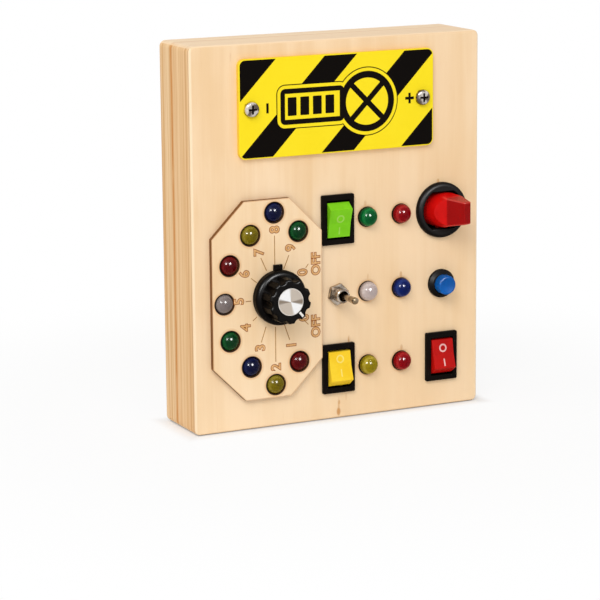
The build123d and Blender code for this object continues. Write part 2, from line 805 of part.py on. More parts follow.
# ---- Rocker switches ----
def rocker_housing(x, z):
    """A snap-in housing: bezel, body with two hooked tongues, and the bearing holes of the rocker."""
    with BuildPart() as housing:
        with BuildSketch(face_plane(x, z, 0)):
            RectangleRounded(rocker_bezel_width, rocker_bezel_height, rocker_bezel_corner)
        extrude(amount=rocker_bezel_thickness)
        fillet(housing.faces().sort_by(Axis.Y)[0].edges(), rocker_bezel_round)
        with BuildSketch(face_plane(x, z, 0)):
            Rectangle(rocker_body_width, rocker_body_height)
        extrude(amount=-rocker_body_length)
        with BuildSketch(face_plane(x, z, rocker_bezel_thickness)):
            Rectangle(rocker_mouth_width, rocker_mouth_height)
        extrude(amount=rocker_floor - rocker_body_length - rocker_bezel_thickness, mode=Mode.SUBTRACT)
        with BuildSketch(Plane(origin=(x, -front, z), x_dir=(0, 0, 1), z_dir=(1, 0, 0))):
            hook = -web_thickness - running_gap
            for side in (-1, 1):
                wall = side * rocker_body_height / 2
                with BuildLine():
                    Polyline(
                        (wall, hook),
                        (wall + side * (loose_gap + snap_bite), hook),
                        (wall, hook - snap_length),
                        close=True,
                    )
                make_face()
        extrude(amount=snap_width / 2, both=True)
        with BuildSketch(Plane(origin=(x, rocker_pivot_depth - front, z), x_dir=(0, 1, 0), z_dir=(1, 0, 0))):
            Circle(rocker_pin_radius + running_gap)
        extrude(amount=rocker_body_width, both=True, mode=Mode.SUBTRACT)
    return housing


def rocker(x, z, tilt):
    """The rocker at its tilt: a shallow V face, sloped ends, and a pin that runs in the housing."""
    lean = radians(tilt)
    swing = Plane(
        origin=(x, rocker_pivot_depth - front, z), x_dir=(0, -sin(lean), cos(lean)), z_dir=(1, 0, 0)
    )
    with BuildPart() as paddle_key:
        with BuildSketch(swing):
            with BuildLine():
                Polyline(
                    (0, rocker_middle_rise),
                    (rocker_tip_side, rocker_tip_rise),
                    (rocker_foot_side, rocker_foot_rise),
                    (rocker_keel_side, -rocker_keel_drop),
                    (-rocker_keel_side, -rocker_keel_drop),
                    (-rocker_foot_side, rocker_foot_rise),
                    (-rocker_tip_side, rocker_tip_rise),
                    close=True,
                )
            make_face()
        extrude(amount=rocker_mouth_width / 2 - slide_gap, both=True)
        fillet(paddle_key.edges().filter_by(Axis.X).group_by(SortBy.DISTANCE)[-1], rocker_edge_round)
        with BuildSketch(swing):
            Circle(rocker_pin_radius)
        extrude(amount=rocker_body_width / 2 - slide_gap, both=True)
    return paddle_key


for name, x, z, tilt in rockers:
    save(rocker_housing(x, z), f"{name}_rocker_housing")
    save(rocker(x, z, tilt), f"{name}_rocker")

with BuildPart() as rocker_terminals:
    with BuildSketch(face_plane(0, 0, -rocker_body_length)):
        with Locations(*rocker_places):
            with GridLocations(blade_distance, blade_distance, 1, 2):
                Rectangle(blade_width, blade_thickness)
    extrude(amount=-blade_length)
save(rocker_terminals, "rocker_terminals")

# ---- Toggle switch ----
toggle_frame_back = -web_thickness - toggle_frame_thickness
toggle_body_back = toggle_frame_back - toggle_body_length
with BuildPart() as toggle_bushing:
    with BuildSketch(face_plane(left_column, middle_row, toggle_frame_back)):
        Rectangle(toggle_body_width, toggle_body_height)
    extrude(amount=toggle_frame_thickness)
    with BuildSketch(face_plane(left_column, middle_row, -web_thickness)):
        Circle(toggle_bushing_radius)
    extrude(amount=web_thickness + toggle_thread_above_face)
    chamfer(toggle_bushing.faces().sort_by(Axis.Y)[0].edges(), toggle_thread_chamfer)
    with BuildSketch(face_plane(left_column, middle_row, toggle_frame_back)):
        Circle(toggle_bore_radius)
    extrude(amount=-toggle_frame_back + toggle_thread_above_face, mode=Mode.SUBTRACT)
save(toggle_bushing, "toggle_bushing")

with BuildPart() as toggle_body:
    with BuildSketch(face_plane(left_column, middle_row, toggle_frame_back)):
        RectangleRounded(toggle_body_width, toggle_body_height, toggle_body_corner)
    extrude(amount=-toggle_body_length)
    with BuildSketch(face_plane(left_column, middle_row, toggle_frame_back)):
        Rectangle(toggle_body_width - 2 * toggle_wall, toggle_body_height - 2 * toggle_wall)
    extrude(amount=toggle_wall - toggle_body_length, mode=Mode.SUBTRACT)
save(toggle_body, "toggle_body")

with BuildPart() as toggle_nut:
    with BuildSketch(face_plane(left_column, middle_row, 0)):
        RegularPolygon(toggle_nut_width / 2, 6, major_radius=False, rotation=toggle_nut_turn)
        Circle(toggle_bushing_radius + running_gap, mode=Mode.SUBTRACT)
    extrude(amount=toggle_nut_thickness)
    chamfer(toggle_nut.faces().sort_by(Axis.Y)[0].outer_wire().edges(), toggle_nut_chamfer)
save(toggle_nut, "toggle_nut")

with BuildPart() as toggle_lever:
    tail_end = toggle_pivot_height - toggle_tail_length
    ball_side = sqrt(toggle_ball_radius**2 - toggle_neck_radius**2)
    tail_side = sqrt(toggle_ball_radius**2 - toggle_tail_radius**2)
    neck_end = toggle_thread_above_face + toggle_neck_proud
    tip_start = toggle_reach - toggle_tip_radius
    round_mid = toggle_tip_radius / sqrt(2)
    with BuildSketch(turning_plane(left_column, middle_row)):
        with BuildLine():
            Polyline(
                (0, toggle_reach),
                (0, tail_end),
                (toggle_tail_radius, tail_end),
                (toggle_tail_radius, toggle_pivot_height - tail_side),
            )
            ThreePointArc(
                (toggle_tail_radius, toggle_pivot_height - tail_side),
                (toggle_ball_radius, toggle_pivot_height),
                (toggle_neck_radius, toggle_pivot_height + ball_side),
            )
            Polyline(
                (toggle_neck_radius, toggle_pivot_height + ball_side),
                (toggle_neck_radius, neck_end),
                (toggle_tip_radius, tip_start),
            )
            ThreePointArc(
                (toggle_tip_radius, tip_start),
                (round_mid, tip_start + round_mid),
                (0, toggle_reach),
            )
        make_face()
    revolve(axis=turning_axis(left_column, middle_row))
save(toggle_lever, "toggle_lever")

with BuildPart() as toggle_terminals:
    with BuildSketch(face_plane(left_column, middle_row, toggle_body_back)):
        with GridLocations(toggle_tag_distance, toggle_tag_distance, 1, 3):
            Rectangle(tag_width, tag_thickness)
    extrude(amount=-tag_length)
save(toggle_terminals, "toggle_terminals")

# ---- Push button: bezel with barrel, cap on a stem, return spring and nut ----
well_floor = -button_well_depth
guide_end = well_floor - button_guide_length
barrel_end = -button_barrel_length
with BuildPart() as button_body:
    with BuildSketch(turning_plane(right_column, middle_row)):
        with BuildLine():
            Polyline(
                (button_cap_radius + running_gap, well_floor),
                (button_cap_radius + running_gap, button_bezel_height),
                (button_bezel_radius - button_bezel_chamfer, button_bezel_height),
                (button_bezel_radius, button_bezel_height - button_bezel_chamfer),
                (button_bezel_radius, 0),
                (button_barrel_radius, 0),
                (button_barrel_radius, barrel_end),
                (0, barrel_end),
                (0, barrel_end + button_end_wall),
                (button_cap_radius, barrel_end + button_end_wall),
                (button_cap_radius, guide_end),
                (button_stem_radius + running_gap, guide_end),
                (button_stem_radius + running_gap, well_floor),
                close=True,
            )
        make_face()
    revolve(axis=turning_axis(right_column, middle_row))
save(button_body, "button_body")

cap_inner_radius = button_coil_radius + button_coil_wire / 2 + loose_gap
cap_roof = button_cap_height - 2 * button_cap_round
with BuildPart() as button_cap:
    with BuildSketch(turning_plane(right_column, middle_row)):
        with BuildLine():
            Polyline(
                (0, button_cap_height),
                (0, guide_end - loose_gap - button_stop_thickness),
                (button_stop_radius, guide_end - loose_gap - button_stop_thickness),
                (button_stop_radius, guide_end - loose_gap),
                (button_stem_radius, guide_end - loose_gap),
                (button_stem_radius, cap_roof),
                (cap_inner_radius, cap_roof),
                (cap_inner_radius, -button_cap_skirt),
                (button_cap_radius, -button_cap_skirt),
                (button_cap_radius, button_cap_height - button_cap_round),
            )
            ThreePointArc(
                (button_cap_radius, button_cap_height - button_cap_round),
                (
                    button_cap_radius - button_cap_round * (1 - 1 / sqrt(2)),
                    button_cap_height - button_cap_round * (1 - 1 / sqrt(2)),
                ),
                (button_cap_radius - button_cap_round, button_cap_height),
            )
            Line((button_cap_radius - button_cap_round, button_cap_height), (0, button_cap_height))
        make_face()
    revolve(axis=turning_axis(right_column, middle_row))
    # A shallow dish for the fingertip, cut by a large ball.
    dish_rim = button_cap_radius - button_cap_round
    dish_radius = (dish_rim**2 + button_cap_dish**2) / (2 * button_cap_dish)
    with Locations((right_column, -(front + button_cap_height - button_cap_dish + dish_radius), middle_row)):
        Sphere(dish_radius, mode=Mode.SUBTRACT)
save(button_cap, "button_cap")

spring_foot = well_floor + button_coil_wire / 2 + running_gap
spring_length = cap_roof - spring_foot - button_coil_wire / 2 - running_gap
with BuildPart() as button_spring:
    with BuildLine() as spring_line:
        Helix(
            pitch=spring_length / button_coil_turns,
            height=spring_length,
            radius=button_coil_radius,
            center=(right_column, -(front + spring_foot), middle_row),
            direction=(0, -1, 0),
        )
    with BuildSketch(Plane(origin=spring_line.line @ 0, z_dir=spring_line.line % 0)):
        Circle(button_coil_wire / 2)
    sweep(path=spring_line.line, is_frenet=True)
save(button_spring, "button_spring")

with BuildPart() as button_nut:
    with BuildSketch(face_plane(right_column, middle_row, -face_thickness)):
        RegularPolygon(button_nut_width / 2, 6, major_radius=False)
        Circle(button_barrel_radius + running_gap, mode=Mode.SUBTRACT)
    extrude(amount=-button_nut_thickness)
save(button_nut, "button_nut")

with BuildPart() as button_terminals:
    with BuildSketch(face_plane(right_column, middle_row, barrel_end)):
        with GridLocations(button_barrel_radius, button_barrel_radius, 1, 2):
            Rectangle(tag_width, tag_thickness)
    extrude(amount=-tag_length)
save(button_terminals, "button_terminals")

# ---- Paddle switch: round bezel and body, and a wedge-shaped paddle that tips sideways ----
with BuildPart() as paddle_housing:
    with BuildSketch(face_plane(right_column, top_row, 0)):
        Circle(paddle_bezel_radius)
    extrude(amount=paddle_bezel_height)
    fillet(paddle_housing.faces().sort_by(Axis.Y)[0].edges(), paddle_bezel_round)
    with BuildSketch(face_plane(right_column, top_row, 0)):
        Circle(paddle_body_radius)
    extrude(amount=-paddle_body_length)
    # The mouth is round, cut off flat above and below where the walls bear the pin.
    with BuildSketch(face_plane(right_column, top_row, paddle_bezel_height)):
        Circle(paddle_mouth_radius)
        Rectangle(2 * paddle_mouth_radius, 2 * paddle_mouth_half, mode=Mode.INTERSECT)
    extrude(amount=paddle_floor - paddle_body_length - paddle_bezel_height, mode=Mode.SUBTRACT)
    fillet(paddle_housing.faces().sort_by(Axis.Y)[0].inner_wires()[0].edges(), paddle_mouth_round)
    with BuildSketch(Plane(origin=(right_column, -front, top_row), x_dir=(0, 0, 1), z_dir=(1, 0, 0))):
        hook = -web_thickness - running_gap
        for side in (-1, 1):
            wall = side * (paddle_body_radius - snap_bite)
            with BuildLine():
                Polyline(
                    (wall, hook),
                    (side * (paddle_body_radius + loose_gap + snap_bite), hook),
                    (wall, hook - snap_length),
                    close=True,
                )
            make_face()
    extrude(amount=snap_width / 2, both=True)
    with BuildSketch(Plane(origin=(right_column, paddle_pivot_depth - front, top_row))):
        Circle(paddle_pin_radius + running_gap)
    extrude(amount=paddle_body_radius, both=True, mode=Mode.SUBTRACT)
save(paddle_housing, "paddle_housing")

with BuildPart() as paddle:
    lean = radians(paddle_tilt)
    pivot = Vector(right_column, paddle_pivot_depth - front, top_row)
    across = (cos(lean), sin(lean), 0)
    outward = (sin(lean), -cos(lean), 0)
    with BuildSketch(Plane(origin=pivot, x_dir=across, z_dir=(0, 0, -1))):
        with BuildLine():
            Polyline(
                (-paddle_foot_radius, -paddle_keel),
                (-paddle_foot_radius, paddle_foot_rise),
                (-paddle_waist_side, paddle_waist_rise),
                (-paddle_tip_side, paddle_tip_rise),
                (paddle_tip_side, paddle_tip_rise),
                (paddle_waist_side, paddle_waist_rise),
                (paddle_foot_radius, paddle_foot_rise),
                (paddle_foot_radius, -paddle_keel),
                close=True,
            )
        make_face()
    extrude(amount=paddle_foot_radius, both=True)
    with BuildSketch(Plane(origin=pivot, x_dir=across, z_dir=outward).offset(-paddle_keel)):
        Circle(paddle_foot_radius)
    extrude(amount=paddle_keel + paddle_tip_rise, mode=Mode.INTERSECT)
    with BuildSketch(Plane(origin=pivot, x_dir=(0, 0, 1), z_dir=across)):
        with BuildLine():
            Polyline(
                (-paddle_foot_radius, -paddle_keel),
                (-paddle_foot_radius, paddle_foot_rise),
                (-paddle_waist_half, paddle_waist_rise),
                (-paddle_tip_half, paddle_tip_rise),
                (paddle_tip_half, paddle_tip_rise),
                (paddle_waist_half, paddle_waist_rise),
                (paddle_foot_radius, paddle_foot_rise),
                (paddle_foot_radius, -paddle_keel),
                close=True,
            )
        make_face()
    extrude(amount=paddle_foot_radius, both=True, mode=Mode.INTERSECT)
    above_foot = Plane(origin=pivot, x_dir=across, z_dir=outward)
    grip_edges = paddle.edges().filter_by(
        lambda edge: min(above_foot.to_local_coords(end.center()).Z for end in edge.vertices()) > paddle_foot_rise - 0.01
    )
    fillet(grip_edges, paddle_edge_round)
    with BuildSketch(Plane(origin=pivot)):
        Circle(paddle_pin_radius)
    extrude(amount=paddle_body_radius - loose_gap, both=True)
save(paddle, "paddle")

with BuildPart() as paddle_terminals:
    with BuildSketch(face_plane(right_column, top_row, -paddle_body_length)):
        with GridLocations(blade_distance, blade_distance, 2, 1):
            Rectangle(blade_thickness, blade_width)
    extrude(amount=-blade_length)
save(paddle_terminals, "paddle_terminals")
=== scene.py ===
# %% [markdown]
# # A wooden busy board
# Two pale wooden boards hold a dial with nine lamps, switches with lamps between them, and a striped
# battery cover. The solids, their sizes and their joints come ready made. This file gives them their
# finishes, adds the pieces that carry the fine shapes and markings, and sets up the camera and the light.
# All lengths are in metres.

# %% Load the solids
import json
from math import cos, pi, radians, sin, sqrt

import bpy
from mathutils import Matrix, Vector
from mathutils.geometry import intersect_plane_plane


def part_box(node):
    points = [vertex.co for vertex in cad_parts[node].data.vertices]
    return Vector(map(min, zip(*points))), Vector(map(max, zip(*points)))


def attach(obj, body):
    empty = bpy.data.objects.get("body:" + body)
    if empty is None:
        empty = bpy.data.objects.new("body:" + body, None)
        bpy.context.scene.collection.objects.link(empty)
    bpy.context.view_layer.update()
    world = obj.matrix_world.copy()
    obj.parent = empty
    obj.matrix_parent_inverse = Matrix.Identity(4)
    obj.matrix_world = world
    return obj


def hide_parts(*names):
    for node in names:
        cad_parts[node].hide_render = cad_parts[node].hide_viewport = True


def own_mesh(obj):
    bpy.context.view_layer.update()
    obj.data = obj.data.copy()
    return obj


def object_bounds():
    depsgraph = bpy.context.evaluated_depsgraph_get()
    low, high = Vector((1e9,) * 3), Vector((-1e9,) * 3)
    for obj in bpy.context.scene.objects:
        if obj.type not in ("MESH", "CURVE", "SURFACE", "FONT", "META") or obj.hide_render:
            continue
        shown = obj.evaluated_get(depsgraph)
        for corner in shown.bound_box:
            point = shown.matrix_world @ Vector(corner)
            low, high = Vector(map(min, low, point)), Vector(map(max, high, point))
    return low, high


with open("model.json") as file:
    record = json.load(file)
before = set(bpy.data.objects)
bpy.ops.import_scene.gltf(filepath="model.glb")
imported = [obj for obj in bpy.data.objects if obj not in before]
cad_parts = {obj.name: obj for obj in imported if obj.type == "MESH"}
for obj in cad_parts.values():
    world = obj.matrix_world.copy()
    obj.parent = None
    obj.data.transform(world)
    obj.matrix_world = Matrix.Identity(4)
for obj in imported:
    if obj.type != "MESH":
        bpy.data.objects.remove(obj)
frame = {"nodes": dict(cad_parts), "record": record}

solid_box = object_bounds()
mm = 0.001
nodes = frame["nodes"]
print(len(nodes), "solids in a box of", [round(b - a, 4) for a, b in zip(*solid_box)])

# %% [markdown]
# ## Camera
# The board is seen from the left, a little from above, through a long lens, so that upright lines stay
# nearly parallel. The camera could be aimed with a constraint, but three angles and a distance are easier
# to read and to change, so its axes are worked out from them and set as one matrix.

# %% Camera
turn, rise, lean = radians(-25.872), radians(11.817), radians(-0.519)
distance, slide, lift = 1056.32 * mm, -9.42 * mm, -30.80 * mm
backward = Vector((sin(turn) * cos(rise), -cos(turn) * cos(rise), sin(rise)))
level = Vector((cos(turn), sin(turn), 0))
upright = backward.cross(level)
spot = Vector((0, 0, 78.5 * mm)) + backward * distance + level * slide + upright * lift
right_axis = level * cos(lean) + upright * sin(lean)
up_axis = upright * cos(lean) - level * sin(lean)
lens = bpy.data.cameras.new("camera")
lens.sensor_width = 36
lens.lens = 153.75
lens.clip_start, lens.clip_end = 0.05, 20
camera = bpy.data.objects.new("camera", lens)
camera.matrix_world = Matrix.Translation(spot) @ Matrix((right_axis, up_axis, backward)).transposed().to_4x4()
bpy.context.collection.objects.link(camera)
bpy.context.scene.camera = camera
print("camera at", [round(v, 3) for v in spot], "with a lens of", round(lens.lens), "mm")

# %% [markdown]
# ## Shader sums
# A finish is a small sum: a base colour, plus grain, minus wear. Blender builds such sums from Math
# nodes, which is slow to read. The class below wraps the output of a node, so that `grain * 0.3 + 0.7`
# adds the Math nodes by itself, and one method of the finish adds every other kind of node.

# %% A value that changes over a surface
class Value:
    def __init__(self, finish, socket):
        self.finish, self.socket = finish, socket

    def maths(self, operation, *others):
        return self.finish.node("ShaderNodeMath", {"operation": operation}, dict(enumerate((self, *others))))

    def __add__(self, other):
        return self.maths("ADD", other)

    def __sub__(self, other):
        return self.maths("SUBTRACT", other)

    def __mul__(self, other):
        return self.maths("MULTIPLY", other)

    def __truediv__(self, other):
        return self.maths("DIVIDE", other)

    def __rsub__(self, other):
        return self.maths("MULTIPLY", -1).maths("ADD", other)

    def __lt__(self, other):
        return self.maths("LESS_THAN", other)

    def __gt__(self, other):
        return self.maths("GREATER_THAN", other)

    __radd__, __rmul__ = __add__, __mul__


# %% A finish: one material and its nodes
def paint_colour(code):
    """The linear colour of a six-digit paint code."""
    parts = [int(code[i:i + 2], 16) / 255 for i in (0, 2, 4)]
    return tuple(p / 12.92 if p <= 0.04045 else ((p + 0.055) / 1.055) ** 2.4 for p in parts) + (1.0,)


class Finish:
    def __init__(self, name, **fixed):
        self.material = bpy.data.materials.new(name)
        self.material.use_nodes = True
        self.tree = self.material.node_tree
        self.shader = self.tree.nodes["Principled BSDF"]
        self.set(**fixed)

    def set(self, **sockets):
        """Sets or links sockets of the main shader: Base_Color for Base Color."""
        for name, value in sockets.items():
            self.join(self.shader.inputs[name.replace("_", " ")], value)

    def join(self, socket, value):
        if isinstance(value, Value):
            self.tree.links.new(value.socket, socket)
        else:
            socket.default_value = value

    def node(self, kind, settings={}, inputs={}, output=0):
        """Adds a node, sets it up, joins its inputs, and returns one of its outputs."""
        made = self.tree.nodes.new(kind)
        for name, setting in settings.items():
            if name == "stops":
                ramp = made.color_ramp
                while len(ramp.elements) < len(setting):
                    ramp.elements.new(0.5)
                for stop, (place, colour) in zip(ramp.elements, setting):
                    stop.position, stop.color = place, colour
            else:
                setattr(made, name, setting)
        for name, value in inputs.items():
            self.join(made.inputs[name], value)
        return Value(self, made.outputs[output])

    def place(self):
        """The point on the surface, in metres, as three values."""
        point = self.node("ShaderNodeTexCoord", output="Object")
        return [self.node("ShaderNodeSeparateXYZ", {}, {0: point}, axis) for axis in ("X", "Y", "Z")]

    def point(self, x, y, z):
        return self.node("ShaderNodeCombineXYZ", {}, {0: x, 1: y, 2: z})

    def noise(self, where, scale, detail=2.0, roughness=0.5, distortion=0.0):
        return self.node("ShaderNodeTexNoise", {}, {"Vector": where, "Scale": scale, "Detail": detail,
                                                    "Roughness": roughness, "Distortion": distortion})

    def ease(self, value, low, high):
        """0 below low, 1 above high, and smooth in between."""
        return self.node("ShaderNodeMapRange", {"interpolation_type": "SMOOTHSTEP"},
                         {"Value": value, "From Min": low, "From Max": high})

    def mix(self, share, first, second):
        return self.node("ShaderNodeMix", {"data_type": "RGBA", "clamp_factor": True},
                         {0: share, 6: first, 7: second}, 2)

    def distance(self, spot, middle):
        return self.node("ShaderNodeVectorMath", {"operation": "DISTANCE"}, {0: spot, 1: middle}, "Value")

    def colour_so_far(self):
        """The base colour as it is joined up by now, to be mixed with more."""
        return Value(self, self.shader.inputs["Base Color"].links[0].from_socket)

    def bump(self, height, strength, depth):
        return self.node("ShaderNodeBump", {}, {"Height": height, "Strength": strength, "Distance": depth})


print("finishes are made by", Finish.__name__)

# %% [markdown]
# ## Floor, background and light
# The board stands on a white floor that keeps only its soft shadow. A white sheet that is lit to pure
# white would need too much light on the board, so floor and background are made white for the camera and
# for reflections alone, and the lamps stay at a plain level. Three large soft lamps light the board: two
# from the front and a weak one from the left.

# %% Background
world = bpy.data.worlds.new("studio")
bpy.context.scene.world = world
world.use_nodes = True
sky = world.node_tree
rays = sky.nodes.new("ShaderNodeLightPath")
seen = rays.outputs["Is Camera Ray"]
for kind in ("Is Glossy Ray", "Is Transmission Ray"):
    either = sky.nodes.new("ShaderNodeMath")
    either.operation = "MAXIMUM"
    sky.links.new(seen, either.inputs[0])
    sky.links.new(rays.outputs[kind], either.inputs[1])
    seen = either.outputs[0]
plain, white = sky.nodes["Background"], sky.nodes.new("ShaderNodeBackground")
plain.inputs["Color"].default_value = (1, 1, 1, 1)
plain.inputs["Strength"].default_value = 0.48
white.inputs["Color"].default_value = (1, 1, 1, 1)
white.inputs["Strength"].default_value = 1.0
share = sky.nodes.new("ShaderNodeMixShader")
sky.links.new(seen, share.inputs[0])
sky.links.new(plain.outputs[0], share.inputs[1])
sky.links.new(white.outputs[0], share.inputs[2])
sky.links.new(share.outputs[0], sky.nodes["World Output"].inputs["Surface"])
print("the room gives", plain.inputs["Strength"].default_value, "of a white sheet's light")

# %% Floor
floor_finish = Finish("studio_floor", Base_Color=(0.93, 0.93, 0.93, 1), Roughness=0.9)
side, ahead = floor_finish.place()[:2]
reach = floor_finish.node("ShaderNodeMath", {"operation": "SQRT"}, {0: side * side + ahead * ahead})
camera_ray = floor_finish.node("ShaderNodeLightPath", output="Is Camera Ray")
foot = solid_box[1]
beside = (side.maths("ABSOLUTE") - foot[0]).maths("MAXIMUM", ahead.maths("ABSOLUTE") - foot[1])
# Painted shadow: the floor's white for the camera is turned down near the board's foot, and a little within
# about a quarter of a metre of its middle, so the floor is darker there under any light.
contact = floor_finish.ease(beside, 0, 7.0 * mm)
glow = camera_ray * (0.22 + 0.64 * contact + 0.14 * floor_finish.ease(reach, 0.11, 0.26))
white_sheet = floor_finish.node("ShaderNodeEmission", {}, {"Color": (1, 1, 1, 1), "Strength": 1.0})
lit_sheet = Value(floor_finish, floor_finish.shader.outputs[0])
seen_sheet = floor_finish.node("ShaderNodeMixShader", {}, {0: glow, 1: lit_sheet, 2: white_sheet})
floor_finish.join(floor_finish.tree.nodes["Material Output"].inputs["Surface"], seen_sheet)
bpy.ops.object.select_all(action="DESELECT")
bpy.ops.mesh.primitive_plane_add(size=6, location=(0, 0, -0.2 * mm))
floor = bpy.context.object
floor.name = "studio_floor"
floor.data.materials.append(floor_finish.material)
bpy.ops.object.transform_apply(location=True)
print("floor", [round(v, 2) for v in floor.dimensions])


# %% Lamps
def soft_lamp(name, azimuth, elevation, reach, size, watts):
    """A square lamp that faces the middle of the board from a direction counted like the camera's."""
    lamp = bpy.data.lights.new(name, "AREA")
    lamp.shape, lamp.size, lamp.energy = "SQUARE", size, watts
    way = Vector((sin(azimuth) * cos(elevation), -cos(azimuth) * cos(elevation), sin(elevation)))
    lamp_object = bpy.data.objects.new(name, lamp)
    lamp_object.location = Vector((0, 0, 0.08)) + way * reach
    lamp_object.rotation_euler = (-way).to_track_quat("-Z", "Y").to_euler()
    bpy.context.collection.objects.link(lamp_object)
    return lamp_object


soft_lamp("key_left", radians(-40), radians(40), 2.4, 1.0, 21.5)
soft_lamp("key_right", radians(-6), radians(34), 2.4, 1.0, 8)
soft_lamp("side_fill", radians(-84), radians(52), 1.6, 0.9, 3.1)
bpy.context.scene.view_settings.view_transform = "Standard"
print("three soft lamps")

# %% [markdown]
# ## Highlights
# Two window lamps light only the shiny pieces, and only what they reflect, so that the domes, the knob and
# the button show bright spots while the wood and every colour stay as they are. The domes keep a slightly
# soft gloss, because on a very sharp one the spots of so small a lamp are easily missed.

# %% Window lamps
shiny = bpy.data.collections.new("shiny_pieces")
for name in nodes:
    if "_led_" in name or name in ("dial_knob", "paddle", "paddle_housing", "button_cap", "button_body"):
        shiny.objects.link(nodes[name])
for name, azimuth, size, watts in (("window_left", -46, 0.45, 100), ("window_right", 6, 0.55, 190)):
    window = soft_lamp(name, radians(azimuth), radians(25), 1.6, size, watts)
    window.visible_diffuse = window.visible_camera = False
    window.light_linking.receiver_collection = shiny

# %% [markdown]
# ## Places on the board
# Every marking lies on a face of a solid, so its place is read from that solid's box. A marking is
# modelled flat, with its own X to the right and its own Y up, and is then stood up on the face by one
# matrix.

# %% Faces and places
board_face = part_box("front_board")[0][1]
plate_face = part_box("dial_plate")[0][1]
sign_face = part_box("sign_plate")[0][1]


def middle_of(node):
    """The middle of a solid as seen from the front: how far right, and how high."""
    low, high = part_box(node)
    return (low[0] + high[0]) / 2, (low[2] + high[2]) / 2


def on_face(face, across, height, turned=0.0):
    """The matrix that stands a flat marking up on a face of the board."""
    stood_up = Matrix.Translation((across, face, height)) @ Matrix.Rotation(pi / 2, 4, "X")
    return stood_up @ Matrix.Rotation(turned, 4, "Z")


def joint_named(name):
    """What the record says of a joint."""
    return next(joint for joint in frame["record"]["behaviour"]["joints"] if joint["name"] == name)


dial_across, dial_height = middle_of("dial_knob")
ring_across = middle_of("dial_led_8")[0]
ring_height = (middle_of("dial_led_8")[1] + middle_of("dial_led_2")[1]) / 2
print("dial at", round(dial_across, 4), round(dial_height, 4), "in a ring round", round(ring_across, 4))

# %% [markdown]
# ## Modelling helpers
# Flat markings start as a plane, a disc or a text. Each is cut to its outline in edit mode and then given
# a very small thickness, so that it stays a closed solid when it is exported. They could be drawn by the
# finish of the face below, but a solid keeps a sharp edge at any distance.

# %% Flat shapes
film = 0.03 * mm


def start(add, **how):
    """Adds a primitive with nothing else selected and opens it for editing."""
    bpy.ops.object.select_all(action="DESELECT")
    add(**how)
    bpy.ops.object.mode_set(mode="EDIT")
    bpy.ops.mesh.select_all(action="SELECT")
    return bpy.context.object


def give_thickness(thickness):
    """Extrudes the flat shape being edited into a closed solid, and closes edit mode."""
    bpy.ops.mesh.select_all(action="SELECT")
    bpy.ops.mesh.extrude_region_move(TRANSFORM_OT_translate={"value": (0, 0, thickness)})
    bpy.ops.mesh.select_all(action="SELECT")
    bpy.ops.mesh.normals_make_consistent(inside=False)
    bpy.ops.object.mode_set(mode="OBJECT")


def hollow(stroke):
    """Leaves only a border of that width of the face being edited."""
    bpy.ops.mesh.inset(thickness=stroke)
    bpy.ops.mesh.delete(type="FACE")


def flat_disc(radius, stroke=0.0, thickness=film):
    """A disc, or with a stroke, a ring of that width."""
    disc = start(bpy.ops.mesh.primitive_circle_add, vertices=64, radius=radius, fill_type="NGON")
    if stroke:
        hollow(stroke)
    give_thickness(thickness)
    return disc


def flat_bar(width, height, corner=0.0, stroke=0.0, thickness=film):
    """A rectangle with or without round corners, or with a stroke, a frame of that width."""
    bar = start(bpy.ops.mesh.primitive_plane_add, size=1)
    bpy.ops.transform.resize(value=(width, height, 1))
    if corner:
        bpy.ops.mesh.bevel(offset=corner, segments=8, affect="VERTICES")
    if stroke:
        hollow(stroke)
    give_thickness(thickness)
    return bar


def placed(piece, matrix):
    """Moves the mesh itself, so that the object stays at the origin."""
    piece.data.transform(matrix)
    return piece


def joined(name, pieces):
    """Makes one object of several."""
    bpy.ops.object.select_all(action="DESELECT")
    for piece in pieces:
        piece.select_set(True)
    bpy.context.view_layer.objects.active = pieces[0]
    bpy.ops.object.join()
    pieces[0].name = pieces[0].data.name = name
    return pieces[0]


def hand_over(piece, body, finish):
    """Gives a finished piece its body and its finish."""
    piece.data.materials.clear()
    piece.data.materials.append(finish.material)
    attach(piece, body)
    print(piece.name, len(piece.data.polygons), "faces")


print("markings are", round(film * 1e6), "thousandths of a millimetre thick")


# %% Lettering
capital_share = 0.73  # the height of a capital letter, as a share of the size of the type
curve_steps = 4
weld = 0.001 * mm


def lettering(words, height, boldness, line=0.0, thickness=film):
    """A word or a figure round its own middle; with a line, only its outline, a tube of that radius."""
    bpy.ops.object.select_all(action="DESELECT")
    bpy.ops.object.text_add()
    text = bpy.context.object
    text.data.body, text.data.size, text.data.resolution_u = words, height / capital_share, curve_steps
    text.data.offset = boldness
    if line:
        text.data.fill_mode, text.data.bevel_depth, text.data.bevel_resolution = "NONE", line, 1
    else:
        text.data.extrude = thickness / 2
    bpy.ops.object.convert(target="MESH")
    bpy.ops.object.mode_set(mode="EDIT")
    bpy.ops.mesh.select_all(action="SELECT")
    bpy.ops.mesh.remove_doubles(threshold=weld)
    if not line:  # the tubes face outward already
        bpy.ops.mesh.normals_make_consistent(inside=False)
    bpy.ops.object.mode_set(mode="OBJECT")
    shape = [vertex.co for vertex in text.data.vertices]
    low, high = (Vector([pick(point[axis] for point in shape) for axis in range(3)]) for pick in (min, max))
    flat = Matrix.Diagonal((1, 1, thickness / (high.z - low.z), 1))
    text.data.transform(flat @ Matrix.Translation(-(low + high) / 2))
    return text


print("figures are written with", lettering.__name__)

# %% [markdown]
# ## Wood
# Both boards and the dial plate are pale birch plywood. Its face has broad soft bands, fine upright
# fibres and a few brown flecks; its edge shows the layers as honey-coloured streaks. One picture of wood
# would repeat on every side, so the grain is made of noise that is stretched along the fibres, and the
# layers of noise that is stretched along the edge.

# %% Grain
def dress(finish, *names):
    """Gives solids their finish."""
    for name in names:
        nodes[name].data.materials.clear()
        nodes[name].data.materials.append(finish.material)
    print(finish.material.name, "with", len(finish.tree.nodes), "nodes on", ", ".join(names))


